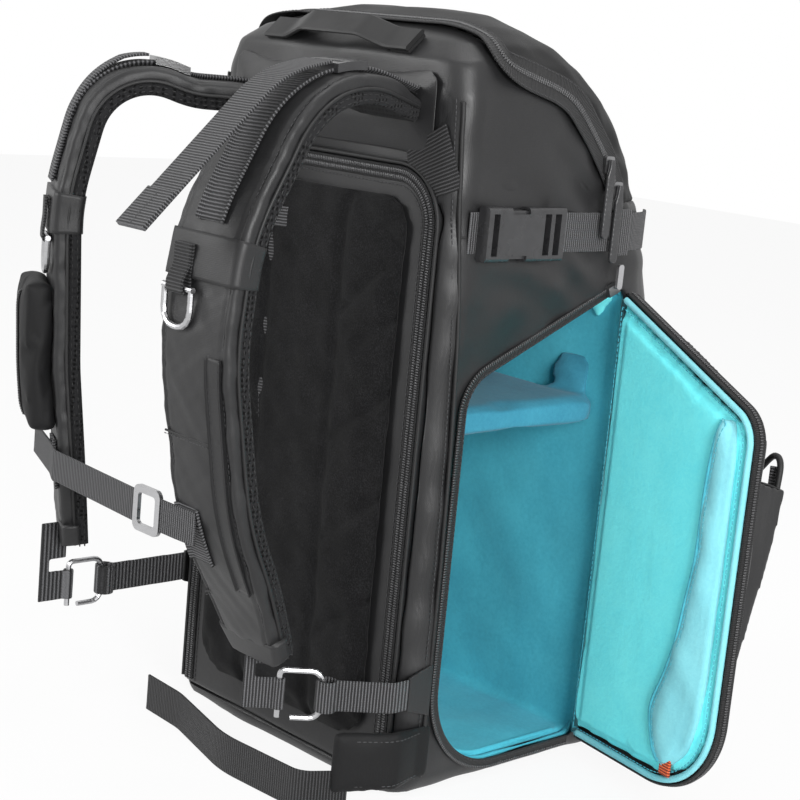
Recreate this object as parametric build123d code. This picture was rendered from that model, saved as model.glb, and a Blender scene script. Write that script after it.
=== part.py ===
from build123d import *
import math
import os

os.makedirs("parts", exist_ok=True)

# Camera backpack, standing upright. Millimetres, +Z up, origin at the middle of the base.
# The harness faces -Y, the front +Y, and the side door is on the +X side.

# --- driving dimensions of the pack ---
WIDTH = 230.0  # across the side panels
DEPTH = 222.0  # harness face to front panel
HEIGHT = 482.0  # base to the crown of the lid
WALL = 4.0  # fabric and foam of the outer shell
LINING = 5.0  # padded lining inside the shell
BASE = 8.0  # stiffened base panel
BELLY = 120.0  # height where the front stands out furthest
SIDE_WRAP = 20.0  # how far the side panels wrap round onto front and back
BACK_CORNER = 20.0  # corner radius between side and harness
CORNER_FACETS = 6  # flat facets round each corner of the shell
RUN = 0.3  # clearance between pieces that move past each other

HALF = WIDTH / 2
BACK = -DEPTH / 2
FRONT = DEPTH / 2

# --- crown ---
CROWN_BACK = 62.0  # from the harness face to the crown's flat top
CROWN_DEPTH = 26.0  # depth of the crown's flat top
CROWN_DRAW = DEPTH - CROWN_BACK - CROWN_DEPTH  # how far the front is drawn in at the crown

# --- lid (clamshell top) ---
LID_FALL = 109.0  # from the crown down to where the lid's zip ends and the lid hinges
LID_FOOT = HEIGHT - LID_FALL
LID_BACK = 35.0  # from the harness face to the zip across the top
LID_SEAM_BACK = 28.0  # lid seam below the crown, at the back
LID_SEAM_TOP = 44.0  # lid seam below the crown, above the door
LID_SEAM_BEND = 95.0  # forward from the harness face to the top of the seam's bend
LID_SEAM_MID = 90.0  # from the front face back to the middle of the seam's fall
LID_SEAM_FALL = 82.0  # that place below the crown
LID_SEAM_RADIUS = 46.0
LID_SEAM_FRONT = 72.0  # from the front face back to the foot of the seam

# --- side door ---
DOOR_OPEN = 80.0  # how far the door stands open, degrees
DOOR_THICK = 9.0  # outer skin and padded lining of the door
DOOR_SKIN = 3.0
HINGE_Y = 58.0  # hinge line of the door
DOOR_FOOT = 12.0  # lower edge of the door opening
DOOR_WIDTH = 141.0  # hinge line to the closing edge
DOOR_DROP = 51.0  # upper corner at the hinge line, below the lid's foot
DOOR_SLANT = 60.0  # fall of the door's upper edge towards its closing edge
DOOR_HINGE_TOP = LID_FOOT - DOOR_DROP
DOOR_CLOSE_TOP = DOOR_HINGE_TOP - DOOR_SLANT
DOOR_TOP_RADIUS = 26.0
DOOR_FOOT_RADIUS = 58.0
DOOR_HINGE_RADIUS = 9.0
DOOR_GAP = 1.0  # zip gap between the door and its opening
TAPE = 1.0  # thickness of a zip tape
POCKET_SKIN = 1.5  # stretch pocket inside the door
TAPE_WIDTH = 5.0

# --- back panel ---
PANEL_HALF = 103.0
PANEL_DROP = 93.0  # top of the back panel below the crown
PANEL_TOP = HEIGHT - PANEL_DROP
PANEL_RADIUS = 34.0
PANEL_THICK = 12.0  # padded panel inside the frame
PANEL_PAD = 6.0  # quilted pad standing proud of the harness face
COIL_BAND = 9.0  # band of the panel's double coil zip
PAD_INSET = 13.0  # from the panel's edge to the quilted pad
PAD_RADIUS = 26.0

# --- camera compartment ---
SHELF_TOP = 241.0
SHELF_THICK = 13.0
CEILING = DOOR_HINGE_TOP + 8.0
CEILING_THICK = 5.0
WALL_PAD = 6.0  # padded wall behind the camera compartment

# --- shoulder straps ---
STRAP_X = 69.0  # middle of a shoulder strap
STRAP_WIDTH = 62.0
STRAP_PAD = 13.0
STRAP_MESH = 4.0
YOKE_PAD = 5.0
YOKE_WIDTH = 196.0
YOKE_TALL = 54.0
YOKE_DROP = 62.0  # middle of the yoke pad below the crown
YOKE_Z = HEIGHT - YOKE_DROP

# --- webbing and hardware ---
WEB = 1.6  # webbing thickness
SIDE_WEB = 25.0  # side compression strap
SIDE_STRAP_DROP = 18.0  # middle of the side strap below the lid's foot
SIDE_STRAP_Z = LID_FOOT - SIDE_STRAP_DROP
LIFTER_WEB = 25.0
BELT_WEB = 25.0
STERNUM_WEB = 20.0
RING_WIRE = 3.6  # D-ring and hook wire
WIRE_SIDES = 8
BEND_CHORDS = 4  # chords in each bend of a wire


def save(name, *shapes):
    """Write one piece; several separate solids go in as one group."""
    solids = [solid for shape in shapes for solid in shape.solids()]
    export_step(solids[0] if len(solids) == 1 else Compound(children=solids), f"parts/{name}.step")


def block(x0, x1, y0, y1, z0, z1):
    """A box between two corners."""
    return Pos((x0 + x1) / 2, (y0 + y1) / 2, (z0 + z1) / 2) * Box(x1 - x0, y1 - y0, z1 - z0)


def mirrored(shape):
    return mirror(shape, about=Plane.YZ)


# --- the pack's outer form, as level rings of points from base to crown ---
def level_ring(z, half, front, r_front, back, r_back):
    """A level outline with large front corners and small harness corners, each in flat facets."""
    corners = [
        (half - r_back, back + r_back, r_back, -90),
        (half - r_front, front - r_front, r_front, 0),
        (-half + r_front, front - r_front, r_front, 90),
        (-half + r_back, back + r_back, r_back, 180),
    ]
    points = []
    for x, y, radius, start in corners:
        for step in range(CORNER_FACETS + 1):
            angle = math.radians(start + 90 * step / CORNER_FACETS)
            points.append((x + radius * math.cos(angle), y + radius * math.sin(angle), z))
    return points


# fall below the crown, side draw-in, share of the crown's draw at the front, front radius,
# harness draw-in, harness radius
PROFILE = [
    (222, 0, 0.00, 42, 0, BACK_CORNER),
    (162, 0, 0.06, 48, 0, BACK_CORNER),
    (122, 0, 0.14, 53, 0, BACK_CORNER),
    (82, 0, 0.24, 60, 0, BACK_CORNER),
    (48, 0, 0.39, 70, 0, BACK_CORNER),
    (28, 6, 0.52, 74, 1, BACK_CORNER),
    (16, 16, 0.64, 72, 14, 22),
    (7, 36, 0.82, 46, 38, 18),
    (0, 62, 1.00, 14, CROWN_BACK, 8),
]
SHOULDER = [(fall, side, share * CROWN_DRAW, *rest) for fall, side, share, *rest in PROFILE]
FRONT_CORNER = 36.0  # front corner radius below the shoulder


def pack_form(inset):
    """The pack's form from base to crown, drawn in by inset."""
    rings = [level_ring(0, HALF - 4, FRONT - 7, 26, BACK + 3, 16)] if inset <= 0 else []
    levels = [
        (BASE, 0, 1, FRONT_CORNER, 0, BACK_CORNER),
        (BELLY, 0, 0, FRONT_CORNER, 0, BACK_CORNER),
    ]
    levels += [(HEIGHT - fall - (inset if fall < 60 else 0), *rest) for fall, *rest in SHOULDER]
    for z, side, front, r_front, back, r_back in levels:
        y_front, y_back = FRONT - front - inset, BACK + back + inset
        rings.append(level_ring(z, HALF - side - inset, y_front, r_front - inset, y_back, r_back - inset))
    faces = [make_face(Polyline(*ring, close=True)) for ring in (rings[0], rings[-1])]
    for low, high in zip(rings, rings[1:]):
        for i, (point, above) in enumerate(zip(low, high)):
            faces.append(make_face(Polyline(low[i - 1], point, above, high[i - 1], close=True)))
    return Solid(Shell(faces))


outer = pack_form(0)
inner = pack_form(WALL)
above_base = block(-WIDTH, WIDTH, -DEPTH, DEPTH, BASE, 2 * HEIGHT)
shell = (outer & above_base) - inner


# --- outlines that several pieces share ---
def lid_region(grow=0.0):
    """The space above and in front of the lid's zip, across the whole pack."""
    back = BACK + LID_BACK - grow
    foot = LID_FOOT - grow
    seam = FilletPolyline(
        (back, HEIGHT - LID_SEAM_BACK - grow),
        (BACK + LID_SEAM_BEND - grow * 0.5, HEIGHT - LID_SEAM_TOP - grow * 0.9),
        (FRONT - LID_SEAM_MID - grow * 0.7, HEIGHT - LID_SEAM_FALL - grow * 0.7),
        (FRONT - LID_SEAM_FRONT - grow, foot),
        radius=LID_SEAM_RADIUS,
    )
    far = FRONT + 60
    edges = [
        *seam.edges(),
        Line(seam @ 1, (far, foot)),
        Line((far, foot), (far, HEIGHT + 60)),
        Line((far, HEIGHT + 60), (back, HEIGHT + 60)),
        Line((back, HEIGHT + 60), seam @ 0),
    ]
    return extrude(Plane.YZ * make_face(edges), WIDTH, both=True)


def door_outline(gap, hinge_gap=0.0):
    """The side opening's outline in the side plane, made smaller all round by gap."""
    low = DOOR_FOOT + gap
    close = HINGE_Y - DOOR_WIDTH + gap
    hinge = HINGE_Y - hinge_gap
    top = DOOR_HINGE_TOP - gap
    close_top = DOOR_CLOSE_TOP - gap
    face = make_face(Polyline((hinge, low), (hinge, top), (close, close_top), (close, low), close=True))
    closing = face.vertices().group_by(Axis.X)[0].sort_by(Axis.Y)
    face = fillet(closing[-1], DOOR_TOP_RADIUS - gap)
    closing = face.vertices().group_by(Axis.X)[0].sort_by(Axis.Y)
    face = fillet(closing[0], DOOR_FOOT_RADIUS - gap)
    return fillet(face.vertices().group_by(Axis.X)[-1], max(DOOR_HINGE_RADIUS - gap, 1))


def in_side(face, x0, x1):
    """A face drawn in the side plane, made solid between two X positions."""
    return extrude(Plane((x0, 0, 0), x_dir=(0, 1, 0), z_dir=(1, 0, 0)) * face, x1 - x0)


def in_back(face, y0, y1):
    """A face drawn in the harness plane (x across, y up), made solid between two Y positions."""
    return extrude(Plane((0, y1, 0), x_dir=(1, 0, 0), z_dir=(0, -1, 0)) * face, y1 - y0)


def panel_outline(grow=0.0):
    """The back panel's outline: straight foot, rounded top corners."""
    half = PANEL_HALF + grow
    foot = BASE + RUN
    top = PANEL_TOP + grow
    face = Pos(0, (foot + top) / 2) * Rectangle(2 * half, top - foot)
    return fillet(face.vertices().group_by(Axis.Y)[-1], PANEL_RADIUS + grow)


# --- shell panels ---
lid_space = lid_region()
panel_hole = in_back(panel_outline(RUN), BACK - 20, BACK + PANEL_THICK + 8) + block(
    -PANEL_HALF - RUN, PANEL_HALF + RUN, BACK - 20, BACK + PANEL_THICK + 8, BASE, 60
)
body = shell - lid_space - panel_hole
wrap = HALF - SIDE_WRAP
right_slab = block(wrap, WIDTH, -DEPTH, DEPTH, BASE, 2 * HEIGHT)
middle = block(-wrap, wrap, -DEPTH, DEPTH, BASE, 2 * HEIGHT)
side_whole = body & right_slab

save("base_panel", outer - above_base)
save("side_panel_left", side_whole - in_side(door_outline(0), wrap - 5, WIDTH))
save("side_panel_right", mirrored(side_whole))
save("front_panel", body & middle & block(-HALF, HALF, 0, DEPTH, 0, 2 * HEIGHT))
save("yoke_panel", body & middle & block(-HALF, HALF, -DEPTH, 0, 0, 2 * HEIGHT))
save("lid_shell", shell & lid_region(-RUN))


# --- zip tapes round the lid ---
skin = (pack_form(-TAPE) & above_base) - outer
lid_tape_space = lid_region(TAPE_WIDTH) - lid_space
save("lid_zip_tape_body", skin & lid_tape_space & block(-WIDTH, WIDTH, BACK, DEPTH, LID_FOOT, 2 * HEIGHT))
lid_edge = lid_region(-RUN) - lid_region(-TAPE_WIDTH)
above_hinge = block(-WIDTH, WIDTH, -DEPTH, DEPTH, LID_FOOT + TAPE_WIDTH, 2 * HEIGHT)
lid_skin = (pack_form(RUN - TAPE) & above_base) - outer
save("lid_zip_tape_lid", lid_skin & lid_edge & above_hinge)

# --- camera compartment ---
room_back = BACK + PANEL_THICK + 0.5
room_half = HALF - WALL
lining_z = (BASE, CEILING)
side_lining = inner & block(room_half - LINING, room_half, room_back, HINGE_Y, *lining_z)
save("side_lining_left", side_lining - in_side(door_outline(0), wrap, WIDTH))
save("side_lining_right", mirrored(side_lining))
wall_front = HINGE_Y + WALL_PAD
floor_half = room_half - LINING
ceiling_z = (CEILING, CEILING + CEILING_THICK)
save(
    "compartment_lining",
    inner & block(-room_half, room_half, HINGE_Y, wall_front, *lining_z),
    inner & block(-room_half, room_half, room_back, wall_front, *ceiling_z),
    block(-floor_half, floor_half, room_back, HINGE_Y, BASE, BASE + LINING),
)

# --- shelf divider with its two hook-and-loop end tabs ---
TAB_WIDTH = 32.0
TAB_HEIGHT = 30.0
TAB_THICK = 3.0
shelf_half = HALF - DOOR_THICK - POCKET_SKIN - RUN
shelf_front = HINGE_Y - RUN
shelf_back = room_back + RUN
shelf_face = Pos(0, (shelf_back + shelf_front) / 2) * Rectangle(2 * shelf_half, shelf_front - shelf_back)
shelf = extrude(Pos(0, 0, SHELF_TOP - SHELF_THICK) * fillet(shelf_face.vertices(), 8), SHELF_THICK)
tab_face = Pos(0, TAB_HEIGHT / 2) * Rectangle(TAB_WIDTH, TAB_HEIGHT)
tab_face = fillet(tab_face.vertices().group_by(Axis.Y)[-1], 12)
tab = in_back(tab_face, shelf_front - TAB_THICK, shelf_front)
tab = Pos(shelf_half - TAB_WIDTH / 2 - 9, 0, SHELF_TOP) * tab
save("shelf_divider", shelf + tab + mirrored(tab))
# the loose diagonal flap above the shelf, fixed to the front lining
FLAP_FOOT = 294.0
FLAP_THICK = 4.0
flap_out = floor_half - 1
flap_face = make_face(
    Polyline((62, CEILING), (flap_out, CEILING), (flap_out, FLAP_FOOT + 14), (94, FLAP_FOOT), close=True)
)
save("flap_divider", in_back(flap_face, HINGE_Y - FLAP_THICK, HINGE_Y))

# --- side door, drawn shut and then swung open ---
door_axis = Axis((HALF, HINGE_Y, 0), (0, 0, 1))


def swung(shape):
    return shape.rotate(door_axis, DOOR_OPEN)


door_face = door_outline(DOOR_GAP, RUN)
door_inner = door_outline(DOOR_GAP + 5, RUN + 3)
save("door_skin", swung(in_side(door_face, HALF - DOOR_SKIN, HALF)))
save("door_lining", swung(in_side(door_inner, HALF - DOOR_THICK, HALF - DOOR_SKIN)))
tape_ring = door_face - door_outline(DOOR_GAP + TAPE_WIDTH, RUN + TAPE_WIDTH)
hinge_cut = Pos(HINGE_Y, HEIGHT / 2) * Rectangle(2 * TAPE_WIDTH + 2, HEIGHT)
save("door_zip_tape", swung(in_side(tape_ring - hinge_cut, HALF, HALF + TAPE)))
frame_ring = door_outline(-TAPE_WIDTH, -TAPE_WIDTH) - door_outline(0)
frame_cut = Pos(HINGE_Y - DOOR_HINGE_RADIUS + WIDTH / 2, HEIGHT / 2) * Rectangle(WIDTH, 2 * HEIGHT)
foot_cut = Pos(0, BASE / 2) * Rectangle(2 * DEPTH, BASE)
save("opening_zip_tape", in_side(frame_ring - frame_cut - foot_cut, HALF, HALF + TAPE))

# stretch pocket inside the door, along its closing edge
POCKET_SPAN = 46.0
door_close = HINGE_Y - DOOR_WIDTH
pocket_zone = Pos(door_close + POCKET_SPAN / 2 + 8, HEIGHT / 2) * Rectangle(POCKET_SPAN, 2 * HEIGHT)
pocket_face = door_outline(DOOR_GAP + 10, 10) & pocket_zone
save("door_inner_pocket", swung(in_side(pocket_face, HALF - DOOR_THICK - POCKET_SKIN, HALF - DOOR_THICK)))

# bottle pocket outside the door: a slanted front with two gussets, open at the top
BOTTLE_TOP = 222.0
BOTTLE_FOOT = 62.0
BOTTLE_DEPTH = 34.0
BOTTLE_SIDE = 2.0
bottle_y = (HINGE_Y - 128, HINGE_Y - 38)


def wedge(inset):
    """The bottle pocket's form, standing off the door's skin."""
    foot = BOTTLE_FOOT + 3 * inset
    deep = HALF + BOTTLE_DEPTH - inset
    top = BOTTLE_TOP + (20 if inset else 0)
    outline = Polyline((HALF, foot), (HALF, top), (deep, top - 8), (deep - 3, BOTTLE_TOP - 40), close=True)
    side = make_face(outline)
    length = bottle_y[1] - bottle_y[0] - 2 * inset
    return extrude(Plane((0, bottle_y[1] - inset, 0), x_dir=(1, 0, 0), z_dir=(0, -1, 0)) * side, length)


save("bottle_pocket", swung(wedge(0) - wedge(BOTTLE_SIDE)))

# --- back panel ---
panel = in_back(panel_outline(), BACK, BACK + PANEL_THICK)
save("back_panel", panel)
pad_face = Rectangle(2 * (PANEL_HALF - PAD_INSET), PANEL_TOP - BASE - 2 * PAD_INSET)
pad_face = fillet((Pos(0, (BASE + PANEL_TOP) / 2 + 2) * pad_face).vertices(), PAD_RADIUS)
pad = in_back(pad_face, BACK - PANEL_PAD, BACK)
save("back_pad", chamfer(pad.faces().sort_by(Axis.Y)[0].edges(), 3.5))
coil_hole = panel_outline(-COIL_BAND) + Pos(0, BASE) * Rectangle(2 * (PANEL_HALF - COIL_BAND), 60)
coil_ring = panel_outline() - coil_hole
save("back_zip_tape", in_back(coil_ring, BACK - TAPE, BACK))
ADJUST_WEB = 24.0
ADJUST_X = -34.0
ADJUST_DROP = 37.0  # top of the adjuster strap below the panel's top
ADJUST_LENGTH = 147.0
adjust_top = PANEL_TOP - ADJUST_DROP
save(
    "harness_adjuster_strap",
    block(
        ADJUST_X - ADJUST_WEB / 2,
        ADJUST_X + ADJUST_WEB / 2,
        BACK - PANEL_PAD - WEB,
        BACK - PANEL_PAD,
        adjust_top - ADJUST_LENGTH,
        adjust_top,
    ),
)
yoke_face = fillet((Pos(0, YOKE_Z) * Rectangle(YOKE_WIDTH, YOKE_TALL)).vertices(), 12)
save("yoke_pad", in_back(yoke_face, BACK - YOKE_PAD, BACK))

# --- side compression strap and its side-release buckle ---
BUCKLE_LENGTH = 44.0
BUCKLE_HEIGHT = SIDE_WEB + 8
BUCKLE_THICK = 9.0
BUCKLE_WALL = 1.7
BUCKLE_Y = -90.0  # webbing end of the female half
MALE_BODY = 24.0
PRONG = 26.0
KEEPER_Y = 38.0


def front_corner(z):
    """Front face position and corner radius of the pack at a height on its shoulder."""
    for (f0, _, d0, r0, _, _), (f1, _, d1, r1, _, _) in zip(SHOULDER, SHOULDER[1:]):
        if HEIGHT - f0 <= z <= HEIGHT - f1:
            share = (z - HEIGHT + f0) / (f0 - f1)
            return FRONT - d0 - (d1 - d0) * share, r0 + (r1 - r0) * share
    return FRONT, SHOULDER[0][3]


def upright_band(path, height, z, thick=WEB):
    """Webbing standing on edge along a level path, centred on the path."""
    section = Plane(origin=path @ 0, x_dir=(0, 0, 1), z_dir=path % 0) * Rectangle(height, thick)
    return Pos(0, 0, z) * sweep(section, path)


face_x = HALF + RUN + WEB / 2
strap_front, strap_corner = front_corner(SIDE_STRAP_Z - SIDE_WEB / 2)
corner_y = strap_front - strap_corner
bend = math.radians(50)
corner_run = strap_corner + RUN + WEB / 2
web_path = Line((face_x, BUCKLE_Y + BUCKLE_LENGTH + 3, 0), (face_x, corner_y, 0)) + CenterArc(
    (HALF - strap_corner, corner_y, 0), corner_run, 0, math.degrees(bend)
)
side_web = upright_band(Wire(web_path.edges()), SIDE_WEB, SIDE_STRAP_Z)
web_z = (SIDE_STRAP_Z - SIDE_WEB / 2, SIDE_STRAP_Z + SIDE_WEB / 2)
stub = block(HALF, HALF + WEB, BUCKLE_Y - 6, BUCKLE_Y + 6, *web_z)

buckle_x0 = HALF + WEB + RUN
mid_x = buckle_x0 + BUCKLE_THICK / 2
female_end = BUCKLE_Y + BUCKLE_LENGTH


def buckle_block(length, height, thick, y0, radius):
    """A rounded buckle body lying along Y against the side panel."""
    face = fillet(Rectangle(thick, height).vertices(), radius)
    return extrude(Plane((mid_x, y0, SIDE_STRAP_Z), x_dir=(1, 0, 0), z_dir=(0, 1, 0)) * face, length)


female = buckle_block(BUCKLE_LENGTH, BUCKLE_HEIGHT, BUCKLE_THICK, BUCKLE_Y, 3)
throat_h = BUCKLE_HEIGHT - 2 * BUCKLE_WALL
throat_t = BUCKLE_THICK - 2 * BUCKLE_WALL
female -= buckle_block(PRONG + 4, throat_h, throat_t, female_end - PRONG - 4, 0.5)
window = block(buckle_x0 - 1, buckle_x0 + BUCKLE_THICK + 1, female_end - 24, female_end - 9, -4, 4)
window = window.moved(Location((0, 0, SIDE_STRAP_Z)))
for lift in (BUCKLE_HEIGHT / 2, -BUCKLE_HEIGHT / 2):
    female -= window.moved(Location((0, 0, lift)))
bar_slot = block(mid_x - 2.2, mid_x + 9, BUCKLE_Y + 4, BUCKLE_Y + 9, *web_z)
save("side_buckle_female", female - bar_slot)

male_y = female_end + RUN
male = buckle_block(MALE_BODY, BUCKLE_HEIGHT, BUCKLE_THICK - 1.2, male_y, 2.5)
for slot_y in (male_y + 5, male_y + 14):
    male -= block(buckle_x0 - 2, buckle_x0 + 12, slot_y, slot_y + 5.5, *web_z)
prong_t = throat_t - 2 * RUN
prong_h = throat_h - 2 * RUN
arm = block(mid_x - prong_t / 2, mid_x + prong_t / 2, male_y - PRONG, male_y + 1, -1.8, 1.8)
for lift in (prong_h / 2 - 1.8, -prong_h / 2 + 1.8, 0):
    reach = arm if lift else block(mid_x - 1.4, mid_x + 1.4, male_y - PRONG + 4, male_y + 1, -2.2, 2.2)
    male += reach.moved(Location((0, 0, SIDE_STRAP_Z + lift)))
save("side_buckle_male", male)

KEEPER_WIDTH = 11.0
KEEPER_SKIN = 1.2
keeper_z = (web_z[0] - 2 * KEEPER_SKIN, web_z[1] + 2 * KEEPER_SKIN)
keeper_hole = (keeper_z[0] + KEEPER_SKIN, keeper_z[1] - KEEPER_SKIN)
keeper_room = HALF + WEB + 2 * RUN
keeper = block(HALF, keeper_room + KEEPER_SKIN, KEEPER_Y, KEEPER_Y + KEEPER_WIDTH, *keeper_z)
keeper -= block(HALF - 1, keeper_room, KEEPER_Y - 1, KEEPER_Y + KEEPER_WIDTH + 1, *keeper_hole)
save("side_strap_webbing", side_web, stub, keeper)

# --- haul handle on the slope between the harness face and the crown ---
HANDLE_HALF = 58.0
HANDLE_RISE = 8.0
HANDLE_WIDTH = 18.0
HANDLE_THICK = 3.0
ANCHOR = 16.0
ANCHOR_THICK = 2.0
slope_low, slope_high = [(BACK + back, HEIGHT - fall) for fall, _, _, _, back, _ in SHOULDER[5:7]]
slope_y, slope_z = (slope_low[0] + slope_high[0]) / 2, (slope_low[1] + slope_high[1]) / 2
slope_along = Vector(0, slope_high[0] - slope_low[0], slope_high[1] - slope_low[1]).normalized()
slope_out = Vector(0, -slope_along.Z, slope_along.Y)
slope_plane = Plane(origin=(0, slope_y, slope_z), x_dir=(1, 0, 0), z_dir=slope_out)
anchor = slope_plane * Pos(HANDLE_HALF, 0, ANCHOR_THICK / 2) * Box(ANCHOR, ANCHOR, ANCHOR_THICK)
save("handle_anchors", anchor, mirrored(anchor))
handle_low = ANCHOR_THICK + RUN + HANDLE_THICK / 2
handle_route = [
    (-HANDLE_HALF - 8, handle_low),
    (-HANDLE_HALF + 12, handle_low),
    (-HANDLE_HALF + 32, handle_low + HANDLE_RISE),
    (HANDLE_HALF - 32, handle_low + HANDLE_RISE),
    (HANDLE_HALF - 12, handle_low),
    (HANDLE_HALF + 8, handle_low),
]
handle_points = [slope_plane.from_local_coords((x, 0, out)) for x, out in handle_route]
handle_path = FilletPolyline(*handle_points, radius=16)
handle_section = chamfer(Rectangle(HANDLE_WIDTH, HANDLE_THICK).vertices(), 1.0)
handle_start = Plane(origin=handle_path @ 0, x_dir=slope_along, z_dir=handle_path % 0)
save("haul_handle", sweep(handle_start * handle_section, handle_path))

# --- shoulder straps: a padded band arching off the yoke, mesh-lined on the wearer's side ---
# routes run from the yoke outwards and down: out from the harness face, and up from the yoke's middle
# for the arch, or up from the ground for the lower end
ARCH_LEFT = [(5, 0), (52, 12), (92, -2), (128, -70), (134, -135)]
FALL_LEFT = [(116, 190), (72, 100)]
BENDS_LEFT = [70, 60, 120, 160, 200]
ARCH_RIGHT = [(-12, -8), (48, -8), (97, 8), (116, -76), (111, -180)]
FALL_RIGHT = [(98, 120)]
BENDS_RIGHT = [60, 34, 150, 200]
TURN = {1: 0.0, -1: 28.0}  # how far the left and right strap stand turned outwards, degrees
BAND_Z = {1: YOKE_Z - 85, -1: YOKE_Z - 82}  # height of the elastic band on the left and right strap
BAND_HEIGHT = 26.0
BAND_THICK = 1.6
STRAP_IN = STRAP_X - STRAP_WIDTH / 2
STRAP_OUT = STRAP_X + STRAP_WIDTH / 2


def strap_path(arch, fall, bends):
    points = [(0, BACK - out, YOKE_Z + up) for out, up in arch] + [(0, BACK - out, z) for out, z in fall]
    return FilletPolyline(*points, radius=bends)


def strap_layer(path, x0, x1, low, high):
    """A layer of the strap between two X positions and two distances off its path."""
    start = Plane(origin=path @ 0, x_dir=(1, 0, 0), z_dir=path % 0)
    return sweep(start * Pos((x0 + x1) / 2, (low + high) / 2) * Rectangle(x1 - x0, high - low), path)


def between(shape, z0, z1, reach=35):
    """The part of a strap layer between two heights, clear of the yoke."""
    return shape & block(-WIDTH, WIDTH, BACK - DEPTH, BACK - reach, z0, z1)


def flipped(shape, side):
    return shape if side > 0 else mirrored(shape)


def turned(shape, side):
    """A strap's piece turned outwards with its strap, still drawn on the left."""
    return shape.rotate(Axis((STRAP_X, BACK, 0), (0, 0, 1)), TURN[side])


def placed(shape, side):
    """A piece drawn on a straight left strap, put where its own strap stands."""
    return flipped(turned(shape, side), side)


def strap_spot(x, y, side):
    """Level position of a point given on a straight left strap."""
    angle = math.radians(TURN[side])
    dx, dy = x - STRAP_X, y - BACK
    level_x = STRAP_X + dx * math.cos(angle) - dy * math.sin(angle)
    return side * level_x, BACK + dx * math.sin(angle) + dy * math.cos(angle)


def path_out(path, z):
    """How far out (Y) the strap's path is at a height on its falling part."""
    low, high = 0.35, 1.0
    for _ in range(40):
        mid = (low + high) / 2
        if (path @ mid).Z > z:
            low = mid
        else:
            high = mid
    return (path @ low).Y


paths = {
    1: strap_path(ARCH_LEFT, FALL_LEFT, BENDS_LEFT),
    -1: strap_path(ARCH_RIGHT, FALL_RIGHT, BENDS_RIGHT),
}
NAMES = {1: "left", -1: "right"}
off_yoke = block(-WIDTH, WIDTH, -2 * DEPTH, BACK - YOKE_PAD, 0, HEIGHT)
bands = []
for side, path in paths.items():
    pad = strap_layer(path, STRAP_IN, STRAP_OUT, 0, STRAP_PAD)
    mesh = strap_layer(path, STRAP_IN + 2, STRAP_OUT - 2, -STRAP_MESH, 0)
    save(f"shoulder_pad_{NAMES[side]}", placed(pad, side) & off_yoke)
    save(f"strap_mesh_{NAMES[side]}", placed(mesh, side) & off_yoke)
    band = strap_layer(path, STRAP_IN, STRAP_OUT, STRAP_PAD, STRAP_PAD + BAND_THICK)
    band_z = BAND_Z[side]
    bands.append(placed(between(band, band_z - BAND_HEIGHT / 2, band_z + BAND_HEIGHT / 2), side))
save("strap_bands", *bands)


# --- D-rings hanging from tabs on the strap bands ---
RING_WIDTH = 24.0
RING_DROP = 22.0
RING_OFF = 12.0  # from the strap's middle towards the pack's middle
EYE = RING_WIRE / 2 + 0.15  # webbing bent round a wire


def bent_wire(points, radii):
    """Wire along a route in the XZ plane with square bends, each bend in a few chords."""
    points = [Vector(*point) for point in points]
    route = points[:1]
    for before, corner, after, radius in zip(points, points[1:], points[2:], radii):
        back = (before - corner).normalized() * radius
        ahead = (after - corner).normalized() * radius
        for step in range(BEND_CHORDS + 1):
            angle = math.pi / 2 * step / BEND_CHORDS
            route.append(corner + ahead * (1 - math.cos(angle)) + back * (1 - math.sin(angle)))
    path = Polyline(*route, points[-1])
    across = Plane(origin=path @ 0, x_dir=(0, 1, 0), z_dir=path % 0)
    section = across * RegularPolygon(RING_WIRE / 2, WIRE_SIDES)
    return sweep(section, path, transition=Transition.RIGHT)


def wire_ring(width, height, wire, corner):
    """A D-ring of wire in the XZ plane: a straight bar through the origin and a U below it."""
    w = width / 2
    bow = bent_wire([(w, 0, 0), (w, 0, -height), (-w, 0, -height), (-w, 0, 0)], [corner, corner])
    section = RegularPolygon(wire / 2, WIRE_SIDES)
    bar = extrude(Plane((-w - wire / 2, 0, 0), x_dir=(0, 1, 0), z_dir=(1, 0, 0)) * section, width + wire)
    return bow + bar


def d_ring(side, path):
    """One hanging D-ring; returns the webbing tab that holds its bar."""
    band_z = BAND_Z[side]
    foot = band_z - BAND_HEIGHT / 2 - 4
    face_y = min(path_out(path, foot), path_out(path, foot - RING_DROP)) - STRAP_PAD - 1.2
    bar_y = face_y - RING_WIRE / 2 - RUN
    x = STRAP_X - RING_OFF
    ring = Pos(x, bar_y, foot) * wire_ring(RING_WIDTH, RING_DROP, RING_WIRE, 10)
    save(f"d_ring_{NAMES[side]}", placed(ring, side))
    wrap = EYE + WEB
    tab_width = RING_WIDTH - 9
    x0, x1 = x - tab_width / 2, x + tab_width / 2
    loop_face = Circle(wrap) - Circle(EYE)
    loop = extrude(Plane((x0, bar_y, foot), x_dir=(0, 1, 0), z_dir=(1, 0, 0)) * loop_face, tab_width)
    tail_y = path_out(path, band_z) - STRAP_PAD - BAND_THICK
    band_face = STRAP_PAD + BAND_THICK
    tail = block(x0, x1, tail_y - 6, tail_y + 6, foot + EYE + 0.4, band_z)
    tail = tail & strap_layer(path, -WIDTH, WIDTH, band_face, band_face + WEB)
    web = block(x0, x1, bar_y - wrap, bar_y + wrap + 2, foot + EYE, foot + EYE + 3)
    return placed((loop + tail + web) - strap_layer(path, -WIDTH, WIDTH, -60, band_face), side)


save("d_ring_tabs", *[d_ring(side, path) for side, path in paths.items()])

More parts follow.
